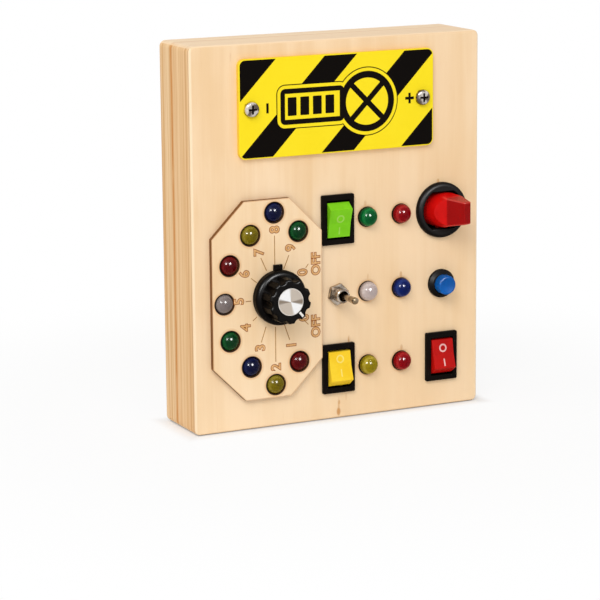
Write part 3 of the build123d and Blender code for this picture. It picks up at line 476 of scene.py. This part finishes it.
def wood_face(finish, x, y, z, pale, deep):
    """The colour of a face with upright grain, painted shade towards the right and painted light towards the
    bottom, and the height of its fibres.
    """
    bands = finish.noise(finish.point(x * 120, y * 120, z * 9), 1.0, 2.0, 0.5, 0.6)
    fibres = finish.noise(finish.point(x * 1100, y * 1100, z * 34), 1.0, 4.0, 0.65, 0.4)
    cloud = finish.noise(finish.point(x * 34, y * 34, z * 18), 1.0, 3.0, 0.5)
    shade = finish.ease(bands * 0.40 + fibres * 0.12 + cloud * 0.48, 0.36, 0.66)
    colour = finish.mix(shade, paint_colour(pale), paint_colour(deep))
    # Painted shade: the face is darker towards the right, where the light falls off.
    colour = finish.mix(finish.ease(x, -60 * mm, 40 * mm) * 0.30, colour, paint_colour("F0CC9E"))
    # Painted light: the face is paler towards the bottom, as if lit from the floor.
    colour = finish.mix((1 - finish.ease(z, 0, 60 * mm)) * 0.30, colour, paint_colour("FFE6C0"))
    pores = finish.noise(finish.point(x * 2300, y * 2300, z * 75), 1.0, 2.0, 0.6)
    return finish.mix(finish.ease(pores, 0.62, 0.82) * 0.22, colour, paint_colour("E2B27C")), fibres


def fleck(finish, x, z, across, height, width, length):
    """1 inside a small upright fleck in the wood, fading out round it."""
    aside = (x - across) / width
    along = (z - height) / length
    return 1 - finish.ease(aside * aside + along * along, 0.15, 1.0)


def gap_to_lamps(finish, x, z, lamps, aside, above):
    """How far a point is from the middle of the nearest lamp, with the middles moved a little; moved left and
    down, they widen the painted shadow of the rims there.
    """
    spot = finish.point(x, 0, z)
    nearest = 1.0
    for lamp in lamps:
        across, height = middle_of(lamp)
        gap = finish.distance(spot, (across + aside, 0, height + above))
        nearest = gap.maths("MINIMUM", nearest)
    return nearest


def charred_and_shaded_holes(finish, colour, gap, rim_radius, on_front):
    """A front face whose lamp holes have a dark rim of that radius, partly charred wood and partly painted
    shadow of the gap round the lamp, with a golden glow round it.
    """
    glow = (1 - finish.ease(gap, rim_radius, rim_radius + 1.3 * mm)) * on_front * 0.45
    char_and_shade = (1 - finish.ease(gap, rim_radius - 0.12 * mm, rim_radius + 0.12 * mm)) * on_front
    return finish.mix(char_and_shade, finish.mix(glow, colour, paint_colour("DC9F5C")), paint_colour("26140B"))


# %% Faces of the boards
row_lamps = [name for name in nodes if name.startswith("row_led")]
dial_lamps = [name for name in nodes if name.startswith("dial_led")]
boards = Finish("birch_boards", Specular_IOR_Level=0.2)
x, y, z = boards.place()
face, fibres = wood_face(boards, x, y, z, "FDE0BB", "F2CEA0")
knots = fleck(boards, x, z, -0.4 * mm, 4.6 * mm, 0.6 * mm, 5.0 * mm) * 0.45
flecks = (
    (-0.3, 6.6, 0.7, 1.4, 0.7), (-0.5, 2.8, 1.1, 2.2, 0.8), (4.5, 32.7, 0.7, 2.4, 0.8),
    (12.2, 88.8, 0.7, 1.8, 0.7), (13.4, 58.2, 0.6, 1.6, 0.35), (28.7, 57.8, 0.8, 1.6, 0.5),
    (28.9, 26.8, 0.8, 1.6, 0.45), (46.1, 95.2, 0.8, 1.5, 0.6), (3.0, 8.6, 0.5, 2.0, 0.3),
    (-47.2, 152.0, 0.5, 2.5, 0.3),
)
for across, height, width, length, weight in flecks:
    mark = fleck(boards, x, z, across * mm, height * mm, width * mm, length * mm)
    knots = knots.maths("MAXIMUM", mark * weight)
streaky = boards.noise(boards.point(x * 700, y * 700, z * 90), 1.0, 2.0)
on_front = boards.ease(y, -14.2 * mm, -14.6 * mm)
face = boards.mix(knots * boards.ease(streaky, 0.30, 0.62) * on_front, face, paint_colour("C8883F"))
# Dark rims round the lamp holes: partly char, partly painted shadow of the gap round each lamp.
row_gap = gap_to_lamps(boards, x, z, row_lamps, -0.10 * mm, -0.12 * mm)
face = charred_and_shaded_holes(boards, face, row_gap, 4.25 * mm, on_front)
print(len(flecks), "flecks, and burnt rims round", len(row_lamps), "lamps")

# %% Edges of the boards
half_width, board_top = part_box("front_board")[1][0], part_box("front_board")[1][2]
aside = x.maths("ABSOLUTE")
from_middle = (z - board_top / 2).maths("ABSOLUTE")
on_side = boards.ease(aside, half_width - 0.75 * mm, half_width - 0.35 * mm)
on_end = boards.ease(from_middle, board_top / 2 - 0.75 * mm, board_top / 2 - 0.35 * mm)
on_edge = on_side.maths("MAXIMUM", on_end)
layers = boards.noise(boards.point(x * 4, y * 420, z * 5), 1.0, 3.0, 0.6)
thin_layers = boards.noise(boards.point(x * 9, y * 1500, z * 14), 1.0, 2.0, 0.6)
streaks = boards.ease(layers * 0.6 + thin_layers * 0.4, 0.40, 0.60)
edge = boards.mix(streaks, paint_colour("F4D0A0"), paint_colour("DCAA70"))
edge = boards.mix(boards.ease(y, 4.0 * mm, 2.0 * mm) * 0.35, edge, paint_colour("F0C48E"))
wander = (boards.noise(boards.point(0, 0, z * 26), 1.0, 1.0) - 0.5) * 1.4 * mm
for place, width, weight, stain in (
    (3.0, 1.4, 1.0, "CE8C4A"), (-1.6, 1.0, 0.5, "D9A066"), (-4.6, 0.7, 0.3, "DDAA74"),
    (-11.0, 0.8, 0.75, "CF9559"), (-13.7, 0.45, 0.6, "B98E66"), (14.4, 0.9, 0.45, "D3A07A"),
):
    off = (y - place * mm + wander).maths("ABSOLUTE")
    band = (1 - boards.ease(off, 0.1 * width * mm, width * mm)) * weight
    band = band * boards.ease(boards.noise(boards.point(0, place, z * 45), 1.0, 2.0), 0.15, 0.55)
    edge = boards.mix(band, edge, paint_colour(stain))
# Painted light: the end faces are painted paler, as the top catches the light from above.
edge = boards.mix(on_end * 0.55, edge, paint_colour("FFEBCE"))
# Painted highlight: the rounded front vertical edges are painted paler, where they catch the light.
worn = boards.ease(aside, half_width - 1.1 * mm, half_width - 0.6 * mm)
worn = worn * boards.ease(y, -14.0 * mm, -14.5 * mm)
colour = boards.mix(worn * 0.8, boards.mix(on_edge, face, edge), paint_colour("FBE4C2"))
# Painted shadow: a thin dark line along the board's foot, where it meets the floor.
foot_shadow_full, foot_shadow_end = 0.15 * mm, 0.60 * mm
foot_shadow = (1 - boards.ease(z, foot_shadow_full, foot_shadow_end)) * 0.65
colour = boards.mix(foot_shadow, colour, paint_colour("7E5E40"))
boards.set(Base_Color=colour, Normal=boards.bump(fibres, 0.10, 0.05 * mm), Roughness=0.50 + 0.16 * fibres)
dress(boards, "front_board", "back_board")

# %% Dial plate with its burnt edge
plate = Finish("birch_plate", Specular_IOR_Level=0.2)
x, y, z = plate.place()
face, fibres = wood_face(plate, x, y, z, "FDE0BA", "F2CE9F")
plate_low, plate_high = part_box("dial_plate")
plate_across, plate_height = middle_of("dial_plate")
half_wide, half_high = (plate_high[0] - plate_low[0]) / 2, (plate_high[2] - plate_low[2]) / 2
corner_cut = 14.3 * mm
aside = (x - plate_across).maths("ABSOLUTE")
above = (z - plate_height).maths("ABSOLUTE")
to_corner = (aside + above - (half_wide + half_high - corner_cut)) * (1 / sqrt(2))
inside = (aside - half_wide).maths("MAXIMUM", above - half_high).maths("MAXIMUM", to_corner)
scorch = plate.ease(inside, -0.55 * mm, 0.05 * mm) * 0.55
face = plate.mix(scorch, face, paint_colour("B9763A"))
# Dark rims round the lamp holes: partly char, partly painted shadow of the gap round each lamp.
dial_gap = gap_to_lamps(plate, x, z, dial_lamps, -0.05 * mm, -0.08 * mm)
on_front = plate.ease(y, plate_face + 0.5 * mm, plate_face + 0.3 * mm)
face = charred_and_shaded_holes(plate, face, dial_gap, 4.50 * mm, on_front)
soot = plate.noise(plate.point(x * 300, y * 900, z * 300), 1.0, 3.0)
burnt = plate.mix(soot, paint_colour("5E3A1C"), paint_colour("8E5E30"))
wall = plate.ease(y, plate_face + 0.02 * mm, plate_face + 0.10 * mm)
plate.set(Base_Color=plate.mix(wall, face, burnt), Roughness=0.48 + 0.16 * fibres)
plate.set(Normal=plate.bump(fibres, 0.10, 0.05 * mm))
dress(plate, "dial_plate")

# %% [markdown]
# ## Engraving of the dial
# The figures are burnt into the plate by a laser: a light brown figure inside a darker outline, each
# lying on its side with its top to the left, and a fine line from each figure towards the knob. The
# figures are type that is made a mesh and thinned to a film; the outline is the same type with no filling
# and a very thin tube along its edge.

# %% Burnt colours
def burn(name, light, dark):
    """Scorched wood, darker where the laser dwelt."""
    finish = Finish(name, Specular_IOR_Level=0.2)
    x, y, z = finish.place()
    dwell = finish.noise(finish.point(x * 900, y * 900, z * 900), 1.0, 3.0)
    grain = finish.noise(finish.point(x * 1100, y * 1100, z * 34), 1.0, 4.0, 0.65)
    shade = finish.ease(dwell * 0.6 + grain * 0.4, 0.35, 0.65)
    finish.set(Base_Color=finish.mix(shade, paint_colour(light), paint_colour(dark)))
    finish.set(Roughness=0.6 + 0.2 * grain)
    return finish


burnt_line = burn("burnt_line", "A8581E", "864414")
burnt_fill = burn("burnt_fill", "E8BA82", "D8A264")
burnt_ray = burn("burnt_ray", "BC8A48", "9C6A32")
print("three burnt colours")

# %% Figures, words and lines
# Each figure's place is counted from the middle of the ring of lamps, in millimetres.
figure_height, word_height, boldness, figure_line = 4.3 * mm, 3.9 * mm, 0.18 * mm, 0.15 * mm
figures = (
    ("8", 0, 28.4), ("2", 0, -28.2), ("7", -6.95, 19.9), ("9", 7.0, 20.4), ("3", -6.95, -19.5),
    ("1", 7.0, -19.8), ("6", -13.6, 11.5), ("4", -13.3, -10.5), ("5", -16.1, 0.5), ("0", 12.3, 9.8),
    ("0", 12.8, -9.0),
)
word_places = ((18.3, 12.8), (18.1, -13.0))
rays = (
    (0, 26.0, 0, 13.0), (0, -11.5, 0, -26.0), (-6.2, 17.45, -3.7, 12.0), (6.3, 17.45, 4.0, 12.0),
    (-6.4, -17.3, -4.2, -11.0), (6.3, -17.5, 4.0, -11.0), (-10.65, 9.5, -8.15, 7.5),
    (-9.95, -8.0, -8.15, -6.5), (-13.1, 0.2, -10.65, 0.2), (13.8, 11.5, 15.0, 13.0),
    (12.8, -10.0, 14.8, -12.0),
)
ray_width = 0.32 * mm
fills, lines, ray_lines = [], [], []


def engrave(words, height, across, above):
    spot = on_face(plate_face, ring_across + across * mm, ring_height + above * mm, turned=pi / 2)
    fills.append(placed(lettering(words, height, boldness), spot))
    lines.append(placed(lettering(words, height, boldness, figure_line, 2 * film), spot))


for words, across, above in figures:
    engrave(words, figure_height, across, above)
for across, above in word_places:
    engrave("OFF", word_height, across, above)
for near_across, near_above, far_across, far_above in rays:
    way = Vector((far_across - near_across, far_above - near_above)) * mm
    middle = Vector((near_across + far_across, near_above + far_above)) * mm / 2
    ray = flat_bar(ray_width, way.length, thickness=1.5 * film)
    turned = way.angle_signed(Vector((0, 1)))
    spot = on_face(plate_face, ring_across + middle.x, ring_height + middle.y, turned=turned)
    ray_lines.append(placed(ray, spot))
hand_over(joined("dial_figure_fills", fills), "board", burnt_fill)
hand_over(joined("dial_figure_lines", lines), "board", burnt_line)
hand_over(joined("dial_rays", ray_lines), "board", burnt_ray)

# %% [markdown]
# ## Sign over the battery
# The cover is yellow with slanted black warning stripes that run to its edge, so the stripes belong to
# its finish. Its badge is a plain battery gauge beside the usual symbol of a lamp. It is layered like
# stickers: a thin black edge, a yellow ground that keeps it clear of the stripes, and the black shapes on
# top.

# %% Stripes
stripe_pitch, black_share, stripe_lean, stripe_start = 36.2 * mm, 0.403, 0.97, 25.7 * mm
sign_height = middle_of("sign_plate")[1]
sign = Finish("striped_sign", Specular_IOR_Level=0.04)
x, y, z = sign.place()
stripe = ((x - (z - sign_height) * stripe_lean + stripe_start) / stripe_pitch).maths("FRACT") < black_share
cloud = sign.noise(sign.point(x, y, z), 90, 3.0)
yellow = sign.mix(cloud, paint_colour("FFE62A"), paint_colour("FBDF20"))
sign_low, sign_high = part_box("sign_plate")
sign_middle, sign_corner, bare_border = (sign_low[0] + sign_high[0]) / 2, 2.8 * mm, 0.5 * mm
past_side = (x - sign_middle).maths("ABSOLUTE") - (sign_high[0] - sign_middle - sign_corner)
past_top = (z - sign_height).maths("ABSOLUTE") - (sign_high[2] - sign_height - sign_corner)
past_side, past_top = past_side.maths("MAXIMUM", 0), past_top.maths("MAXIMUM", 0)
to_rim = (past_side * past_side + past_top * past_top).maths("SQRT") - sign_corner
stripe = stripe * (to_rim < -bare_border)
printed = sign.mix(stripe, yellow, paint_colour("0B0705"))
side = sign.ease(y, sign_face + 0.05 * mm, sign_face + 0.15 * mm)
skin = sign.noise(sign.point(x, y, z), 1500, 2.0)
sign.set(Base_Color=sign.mix(side, printed, paint_colour("F2CC40")), Roughness=0.34 + 0.12 * skin)
sign.set(Normal=sign.bump(skin, 0.05, 0.02 * mm))
dress(sign, "sign_plate")


# %% Inks of the badge
def ink(name, colour, worn):
    """Printed colour with a faintly uneven coat."""
    finish = Finish(name, Specular_IOR_Level=0.04)
    x, y, z = finish.place()
    coat = finish.noise(finish.point(x, y, z), 700, 3.0)
    finish.set(Base_Color=finish.mix(coat, paint_colour(colour), paint_colour(worn)))
    finish.set(Roughness=0.32 + 0.14 * coat)
    return finish


black_ink = ink("black_ink", "0B0705", "140E0A")
yellow_ink = ink("yellow_ink", "FFE62A", "FBDF20")
print("black and yellow ink")

# %% Badge
ring_radius, ring_stroke = 12.3 * mm, 2.7 * mm
lamp_symbol_x, badge_z = 12.2 * mm, sign_height
gauge_left, gauge_right, gauge_high, gauge_stroke = -26.6 * mm, 1.8 * mm, 14.4 * mm, 2.0 * mm
gauge_corner, cross_wide, cross_into_ring = 2.0 * mm, 2.3 * mm, 0.6 * mm
halo, edge_line = 1.35 * mm, 0.40 * mm
step = 0.2 * film  # keeps shapes that cross each other from sharing a face
gauge_wide, gauge_middle = gauge_right - gauge_left, (gauge_left + gauge_right) / 2
for name, grown, thickness, finish in (
    ("sign_badge_edge", halo + edge_line, film, black_ink), ("sign_badge_ground", halo, 2 * film, yellow_ink),
):
    disc = flat_disc(ring_radius + grown, thickness=thickness)
    placed(disc, on_face(sign_face, lamp_symbol_x, badge_z))
    wide, high = gauge_wide + 2 * grown, gauge_high + 2 * grown
    bar = flat_bar(wide, high, gauge_corner + grown, thickness=thickness - step)
    placed(bar, on_face(sign_face, gauge_middle, badge_z))
    hand_over(joined(name, [disc, bar]), "board", finish)
symbol_ring = flat_disc(ring_radius, ring_stroke, 3 * film)
shapes = [placed(symbol_ring, on_face(sign_face, lamp_symbol_x, badge_z))]
for turned, thickness in ((pi / 4, 3 * film + step), (-pi / 4, 3 * film + 2 * step)):
    cross_long = 2 * (ring_radius - ring_stroke) + cross_into_ring
    stroke = flat_bar(cross_wide, cross_long, thickness=thickness)
    shapes.append(placed(stroke, on_face(sign_face, lamp_symbol_x, badge_z, turned=turned)))
frame_bar = flat_bar(gauge_wide, gauge_high, gauge_corner, gauge_stroke, 3 * film - step)
shapes.append(placed(frame_bar, on_face(sign_face, gauge_middle, badge_z)))
charge_pitch, charge_wide, charge_high = 5.6 * mm, 3.9 * mm, 7.4 * mm
charge_corner, charge_inset = 0.3 * mm, 1.2 * mm
for place in range(4):
    charge = flat_bar(charge_wide, charge_high, charge_corner, thickness=3 * film)
    across = gauge_left + gauge_stroke + charge_inset + charge_wide / 2 + place * charge_pitch
    shapes.append(placed(charge, on_face(sign_face, across, badge_z)))
for width, height, across, thickness in (
    (1.0, 4.0, -32.3, 3 * film), (1.0, 4.3, 31.7, 3 * film), (3.9, 1.1, 31.7, 3 * film + step),
):
    stroke = flat_bar(width * mm, height * mm, thickness=thickness)
    shapes.append(placed(stroke, on_face(sign_face, across * mm, badge_z)))
hand_over(joined("sign_badge", shapes), "board", black_ink)

# %% [markdown]
# ## Plastics
# Knobs, rockers and housings are moulded. Fresh mouldings have an even colour, so what tells them from
# paint is their skin: a very fine texture, a gloss that differs a little from place to place, and the
# faintest clouds in the colour. One function makes them all, from a colour, its deeper shade, a roughness
# and a shine.

# %% Moulded plastic
def moulded(name, colour, deeper, roughness, shine=0.12, texture=0.06):
    finish = Finish(name, Specular_IOR_Level=shine)
    x, y, z = finish.place()
    spot = finish.point(x, y, z)
    cloud = finish.ease(finish.noise(spot, 140, 3.0), 0.30, 0.70)
    skin = finish.noise(spot, 2600, 2.0)
    finish.set(Base_Color=finish.mix(cloud, paint_colour(colour), paint_colour(deeper)))
    finish.set(Roughness=(roughness - 0.05) + 0.10 * skin, Normal=finish.bump(skin, texture, 0.02 * mm))
    return finish


housings = moulded("black_housing", "120D0B", "0C0806", 0.42, 0.04, 0.12)
dress(housings, "green_rocker_housing", "yellow_rocker_housing", "red_rocker_housing", "dial_base_ring")
dress(moulded("black_bezel", "0E0A08", "080605", 0.44, 0.05, 0.12), "paddle_housing", "button_body")
dress(moulded("black_knob", "090605", "050302", 0.32, 0.045, 0.03), "dial_knob")
inner_black = moulded("inner_black", "1E1D1C", "151413", 0.55, 0.3)
dress(inner_black, "battery_tray", "rotary_switch_body", "toggle_body")
dress(moulded("lime_rocker", "82D620", "78CA18", 0.30), "green_rocker")
dress(moulded("yellow_rocker", "FFD834", "F8CC26", 0.30), "yellow_rocker")
dress(moulded("red_rocker", "C2140F", "B00D0B", 0.30), "red_rocker")
dress(moulded("blue_button", "045EB4", "02529F", 0.34, 0.07), "button_cap")
dress(moulded("white_pointer", "F4F2EE", "E8E4DE", 0.40), "dial_pointer")

# %% [markdown]
# ## Paddle
# The red paddle is a hollow wedge, thin at its skirt and solid towards its tip. Its tip half is painted a
# deeper red, as painted shade, and its long edges are painted paler, as painted highlights. Both follow how
# far a point has risen out of the switch. That could be read from a map painted on the mesh, but the wedge
# leans about a known pivot, so two products give it from the place.

# %% Paddle
paddle_lean = radians(18.5)
waist_rise, waist_half = 9.1 * mm, 5.9 * mm
tip_rise, tip_half = 16.6 * mm, 4.65 * mm
edge_inset, edge_core, edge_fade = 0.25 * mm, 0.10 * mm, 0.40 * mm
skirt_end, grip_start = 5.0 * mm, 8.0 * mm
pivot = joint_named("paddle_tilt")["pos_m"]
paddle = moulded("red_paddle", "D20D0A", "C40A08", 0.26, 0.06)
x, y, z = paddle.place()
rise = (x - pivot[0]) * sin(paddle_lean) - (y - pivot[1]) * cos(paddle_lean)
half = (rise - waist_rise) * ((tip_half - waist_half) / (tip_rise - waist_rise)) + waist_half
to_edge = ((z - pivot[2]).maths("ABSOLUTE") - half + edge_inset).maths("ABSOLUTE")
# Painted highlight: a paler line along each long edge of the paddle.
worn = (1 - paddle.ease(to_edge, edge_core, edge_fade)) * paddle.ease(rise, skirt_end, grip_start) * 0.45
# Painted shade: the tip half, from the waist out, is darker.
deeper = paddle.ease(rise, waist_rise - 0.2 * mm, waist_rise + 0.5 * mm) * 0.8
colour = paddle.mix(deeper, paddle.colour_so_far(), paint_colour("860202"))
paddle.set(Base_Color=paddle.mix(worn, colour, paint_colour("E8584C")))
dress(paddle, "paddle")

# %% [markdown]
# ## Marks on the rockers
# Each rocker carries a ring and a bar, moulded in a paler plastic. A rocker's front is a shallow V, so
# each mark lies on its own slope. The slopes could be worked out from the tilt, but reading them from the
# solid keeps the marks in place whatever its tilt.

# %% Slopes of a rocker
def slope(rocker, upper):
    """A point on the upper or lower half of a rocker's front, and the direction that the half faces."""
    height = middle_of(rocker.replace("_rocker", "_rocker_housing"))[1]
    fronts = [f for f in nodes[rocker].data.polygons if f.normal.y < -0.85 and (f.center.z > height) == upper]
    widest = max(fronts, key=lambda f: f.area)
    return widest.center.copy(), widest.normal.copy()


def mark_place(rocker, along, upper):
    """The matrix that lays a flat mark on a slope, at a distance from the fold between the slopes."""
    (top, top_way), (foot, foot_way) = slope(rocker, True), slope(rocker, False)
    fold = intersect_plane_plane(top, top_way, foot, foot_way)[0]
    outward = top_way if upper else foot_way
    sideways = Vector((1, 0, 0))
    upward = outward.cross(sideways).normalized()
    middle = Vector((middle_of(rocker)[0], fold.y, fold.z)) + upward * along
    return Matrix.Translation(middle) @ Matrix((sideways, upward, outward)).transposed().to_4x4()


# %% Rings and bars
mark_radius, mark_stroke = 1.75 * mm, 0.62 * mm
bar_wide, bar_long, bar_corner = 0.58 * mm, 3.1 * mm, 0.15 * mm
for rocker, ring_along, bar_along, colour, deeper in (
    ("green_rocker", 1.9, -3.3, "A6DE5C", "98D24C"), ("yellow_rocker", 3.0, -2.8, "FFEA80", "FBE26E"),
    ("red_rocker", 2.5, -3.6, "F0C2BE", "E8B2AE"),
):
    mark_ring = flat_disc(mark_radius, mark_stroke, 2 * film)
    placed(mark_ring, mark_place(rocker, ring_along * mm, True))
    mark_bar = flat_bar(bar_wide, bar_long, bar_corner, thickness=2 * film)
    placed(mark_bar, mark_place(rocker, bar_along * mm, False))
    marks = joined(rocker + "_marks", [mark_ring, mark_bar])
    hand_over(marks, rocker, moulded(rocker + "_mark", colour, deeper, 0.4))

# %% [markdown]
# ## Lamps
# A lamp is a dome of clear coloured plastic over a tiny light. Switched off, it looks deep and dark, with
# a lighter ring where light is caught inside its rim. Real refraction would ask for a modelled inside,
# and would be lost when the finish is exported, so the ring and the deep middle are drawn in its colour,
# round each lamp's own middle.

# %% Coloured domes
lamp_radius = 4.0 * mm


def dome(name, clear, lit, deep, dim, face):
    """Deep in the middle, lit inside the rim, dark where it enters the face, and darkened by a share: all
    painted light and shade.
    """
    finish = Finish(name + "_dome", Roughness=0.17, Specular_IOR_Level=0.07)
    across, height = middle_of(name)
    x, y, z = finish.place()
    aside, above = (x - across) / lamp_radius, (z - height) / lamp_radius
    out = (aside * aside + above * above).maths("SQRT")
    swirl = finish.noise(finish.point(x, y, z), 420, 2.0)
    caught = finish.ease(out, 0.62, 0.80) * (1 - finish.ease(out, 0.84, 0.95)) * (0.35 + 0.65 * swirl)
    heart = (1 - finish.ease(out, 0.05, 0.60)) * 0.55
    colour = finish.mix(heart, paint_colour(clear), paint_colour(deep))
    colour = finish.mix(caught, colour, paint_colour(lit))
    entering = finish.ease(y, face - 1.3 * mm, face - 0.3 * mm)
    shadow = dim + (1 - dim) * finish.ease(out, 0.90, 1.0) * (0.30 + 0.70 * entering)
    finish.set(Base_Color=finish.mix(shadow, colour, paint_colour("0C0605")))
    return finish


lamp_colours = {
    "green": ("005628", "1F8040", "003E1A"), "red": ("86000A", "AC2A2A", "700008"),
    "blue": ("081A5A", "2C3E80", "061242"), "yellow": ("92800A", "BEAA40", "7A6806"),
    "white": ("BCACA8", "D2C6C2", "A89A98"),
}
# The dial's lamps sit lower, so they are darkened by these shares as painted shade.
dial_dimming = {"green": 0.58, "red": 0.64, "blue": 0.70, "yellow": 0.44, "white": 0.60}
for name in row_lamps + dial_lamps:
    slot = next(part["material_slot"] for part in frame["record"]["subparts"] if part["node"] == name)
    tint = slot.replace("lamp_", "")
    dim, face = (dial_dimming[tint], plate_face) if name in dial_lamps else (0.0, board_face)
    dress(dome(name, *lamp_colours[tint], dim, face), name)

# %% [markdown]
# ## Metals
# The screws are chrome, the toggle nickel, the knob's cap spun aluminium, and inside are steel and brass.
# A metal is its reflection, and a white room would leave it blank, so its colour changes in soft patches
# as if darker things stood about, and its roughness in fine marks along the way it was rolled or turned.
# The cap is the exception: its turned rings throw light in fans, which are drawn as an even wheel of
# tones.

# %% Bright and plain metal
def bare_metal(name, colour, reflected_dark, roughness, marks=0.15, patches=(0.0, 1.0)):
    finish = Finish(name, Metallic=1.0)
    x, y, z = finish.place()
    rolled = finish.noise(finish.point(x * 300, y * 2600, z * 2600), 1.0, 3.0)
    # Painted reflection: soft darker patches stand for darker things mirrored in the metal.
    cloud = finish.ease(finish.noise(finish.point(x, y, z), 420, 2.0), *patches)
    finish.set(Base_Color=finish.mix(cloud, paint_colour(colour), paint_colour(reflected_dark)))
    finish.set(Roughness=(roughness - marks / 2) + marks * rolled)
    finish.set(Normal=finish.bump(rolled, 0.05, 0.01 * mm))
    return finish


screws = bare_metal("chrome_screws", "D8D0C8", "6A5E56", 0.14, patches=(0.42, 0.60))
x, y, z = screws.place()
head_radius, cross_reach, cross_end = 3.2 * mm, 1.6 * mm, 1.9 * mm
cross_top, cross_deep = 0.25 * mm, 0.5 * mm
screw_low, screw_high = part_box("sign_screws")
spot = screws.point(x, 0, z)
nearest = 1.0
for across in (screw_low[0] + head_radius, screw_high[0] - head_radius):
    nearest = screws.distance(spot, (across, 0, sign_height)).maths("MINIMUM", nearest)
# Painted shade: the cross recess of each screw head is painted near black.
recess_shade = screws.ease(y, screw_low[1] + cross_top, screw_low[1] + cross_deep)
recess_shade = recess_shade * (1 - screws.ease(nearest, cross_reach, cross_end))
screws.set(Base_Color=screws.mix(recess_shade, screws.colour_so_far(), paint_colour("1A1412")))
dress(screws, "sign_screws")
dress(bare_metal("nickel", "C4B8AA", "7C6E62", 0.18, patches=(0.34, 0.70)), "toggle_bushing", "toggle_nut")
dress(bare_metal("lever_nickel", "BEAF98", "86745C", 0.20, patches=(0.34, 0.70)), "toggle_lever")
spring_steel = bare_metal("inner_steel", "B8B6B2", "A2A09C", 0.36)
dress(spring_steel, "back_board_screws", "battery_tray_screws", "led_legs",
      "battery_spring_contacts", "battery_flat_contacts", "rotary_switch_frame", "rotary_switch_washer",
      "rotary_switch_nut", "rotary_shaft", "button_spring", "button_nut")
dress(bare_metal("inner_brass", "D2B063", "B8944A", 0.34), "rotary_switch_terminals", "rocker_terminals",
      "toggle_terminals", "button_terminals", "paddle_terminals")

# %% [markdown]
# ## Spring of the push button
# Under the blue cap sits a coil spring that shortens when the cap is pushed. A fixed solid can't shorten,
# so a copy of it takes its place, with a mesh of its own, and the share of its length that the cap's full
# travel would leave is worked out. The coil could be spun anew from a circle, but the copy keeps the wire
# and its turns exactly where the solid has them.

# %% Copy of the spring
push = joint_named("button_push")
fixed_end, travel = push["deforming_nodes"][0]["fixed_end_y_m"], push["range_m"][1]
spring_low, spring_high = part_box("button_spring")
coil = bpy.data.objects.new("button_coil", nodes["button_spring"].data.copy())
bpy.context.collection.objects.link(coil)
bpy.ops.object.select_all(action="DESELECT")
coil.select_set(True)
bpy.context.view_layer.objects.active = coil
bpy.ops.object.mode_set(mode="EDIT")
bpy.ops.mesh.select_all(action="SELECT")
bpy.ops.mesh.remove_doubles(threshold=weld)
bpy.ops.mesh.normals_make_consistent(inside=False)
bpy.ops.object.mode_set(mode="OBJECT")
hand_over(coil, "board", spring_steel)
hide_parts("button_spring")
pressed_share = 1 - travel / (fixed_end - spring_low[1])
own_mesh(coil)
print("the spring is pressed to", round(pressed_share, 2), "of its length")

# %% Spun cap
cap = Finish("spun_cap", Metallic=1.0)
x, y, z = cap.place()
aside, above = x - dial_across, z - dial_height
out = (aside * aside + above * above).maths("SQRT")
bearing = above.maths("ARCTAN2", aside) / (2 * pi) + 0.5
white, tan, dark = paint_colour("FFFFFF"), paint_colour("CFC3B6"), paint_colour("958779")
fans = cap.node("ShaderNodeValToRGB", {"stops": (
    (0.00, dark), (0.03, tan), (0.27, tan), (0.31, white), (0.44, white), (0.47, dark), (0.51, dark),
    (0.54, tan), (0.74, tan), (0.78, white), (0.94, white), (0.97, dark), (1.00, dark),
)}, {0: bearing})
turned_rings = cap.noise(cap.point(out * 5200, 0, 0), 1.0, 2.0)
# Painted highlight: the cap's outer rim is painted near white.
rim = cap.ease(out, 5.15 * mm, 5.35 * mm)
cap.set(Base_Color=cap.mix(rim * 0.7, fans, paint_colour("F4EEE6")), Roughness=0.24 + 0.16 * turned_rings)
cap.set(Normal=cap.bump(turned_rings, 0.12, 0.01 * mm))
dress(cap, "dial_knob_cap")

# %% [markdown]
# ## Battery cells
# A cell is a steel can in a printed sleeve. Only its poles stay bare, and the sleeve is dark with a
# copper band at the positive end. It is hidden behind the sign, so one finish for all cells is enough.

# %% Sleeves
cells = Finish("battery_sleeves", Metallic=0.4, Specular_IOR_Level=0.4)
x, y, z = cells.place()
cell_low, cell_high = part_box("battery_cells")
share = (x - cell_low[0]) / (cell_high[0] - cell_low[0])
scuffs = cells.noise(cells.point(x * 200, y * 900, z * 900), 1.0, 3.0)
sleeve = cells.mix(scuffs, paint_colour("22262A"), paint_colour("30353A"))
band = (share > 0.72) * (share < 0.96)
cells.set(Base_Color=cells.mix(band, sleeve, paint_colour("B8743C")), Roughness=0.25 + 0.2 * scuffs)
dress(cells, "battery_cells")
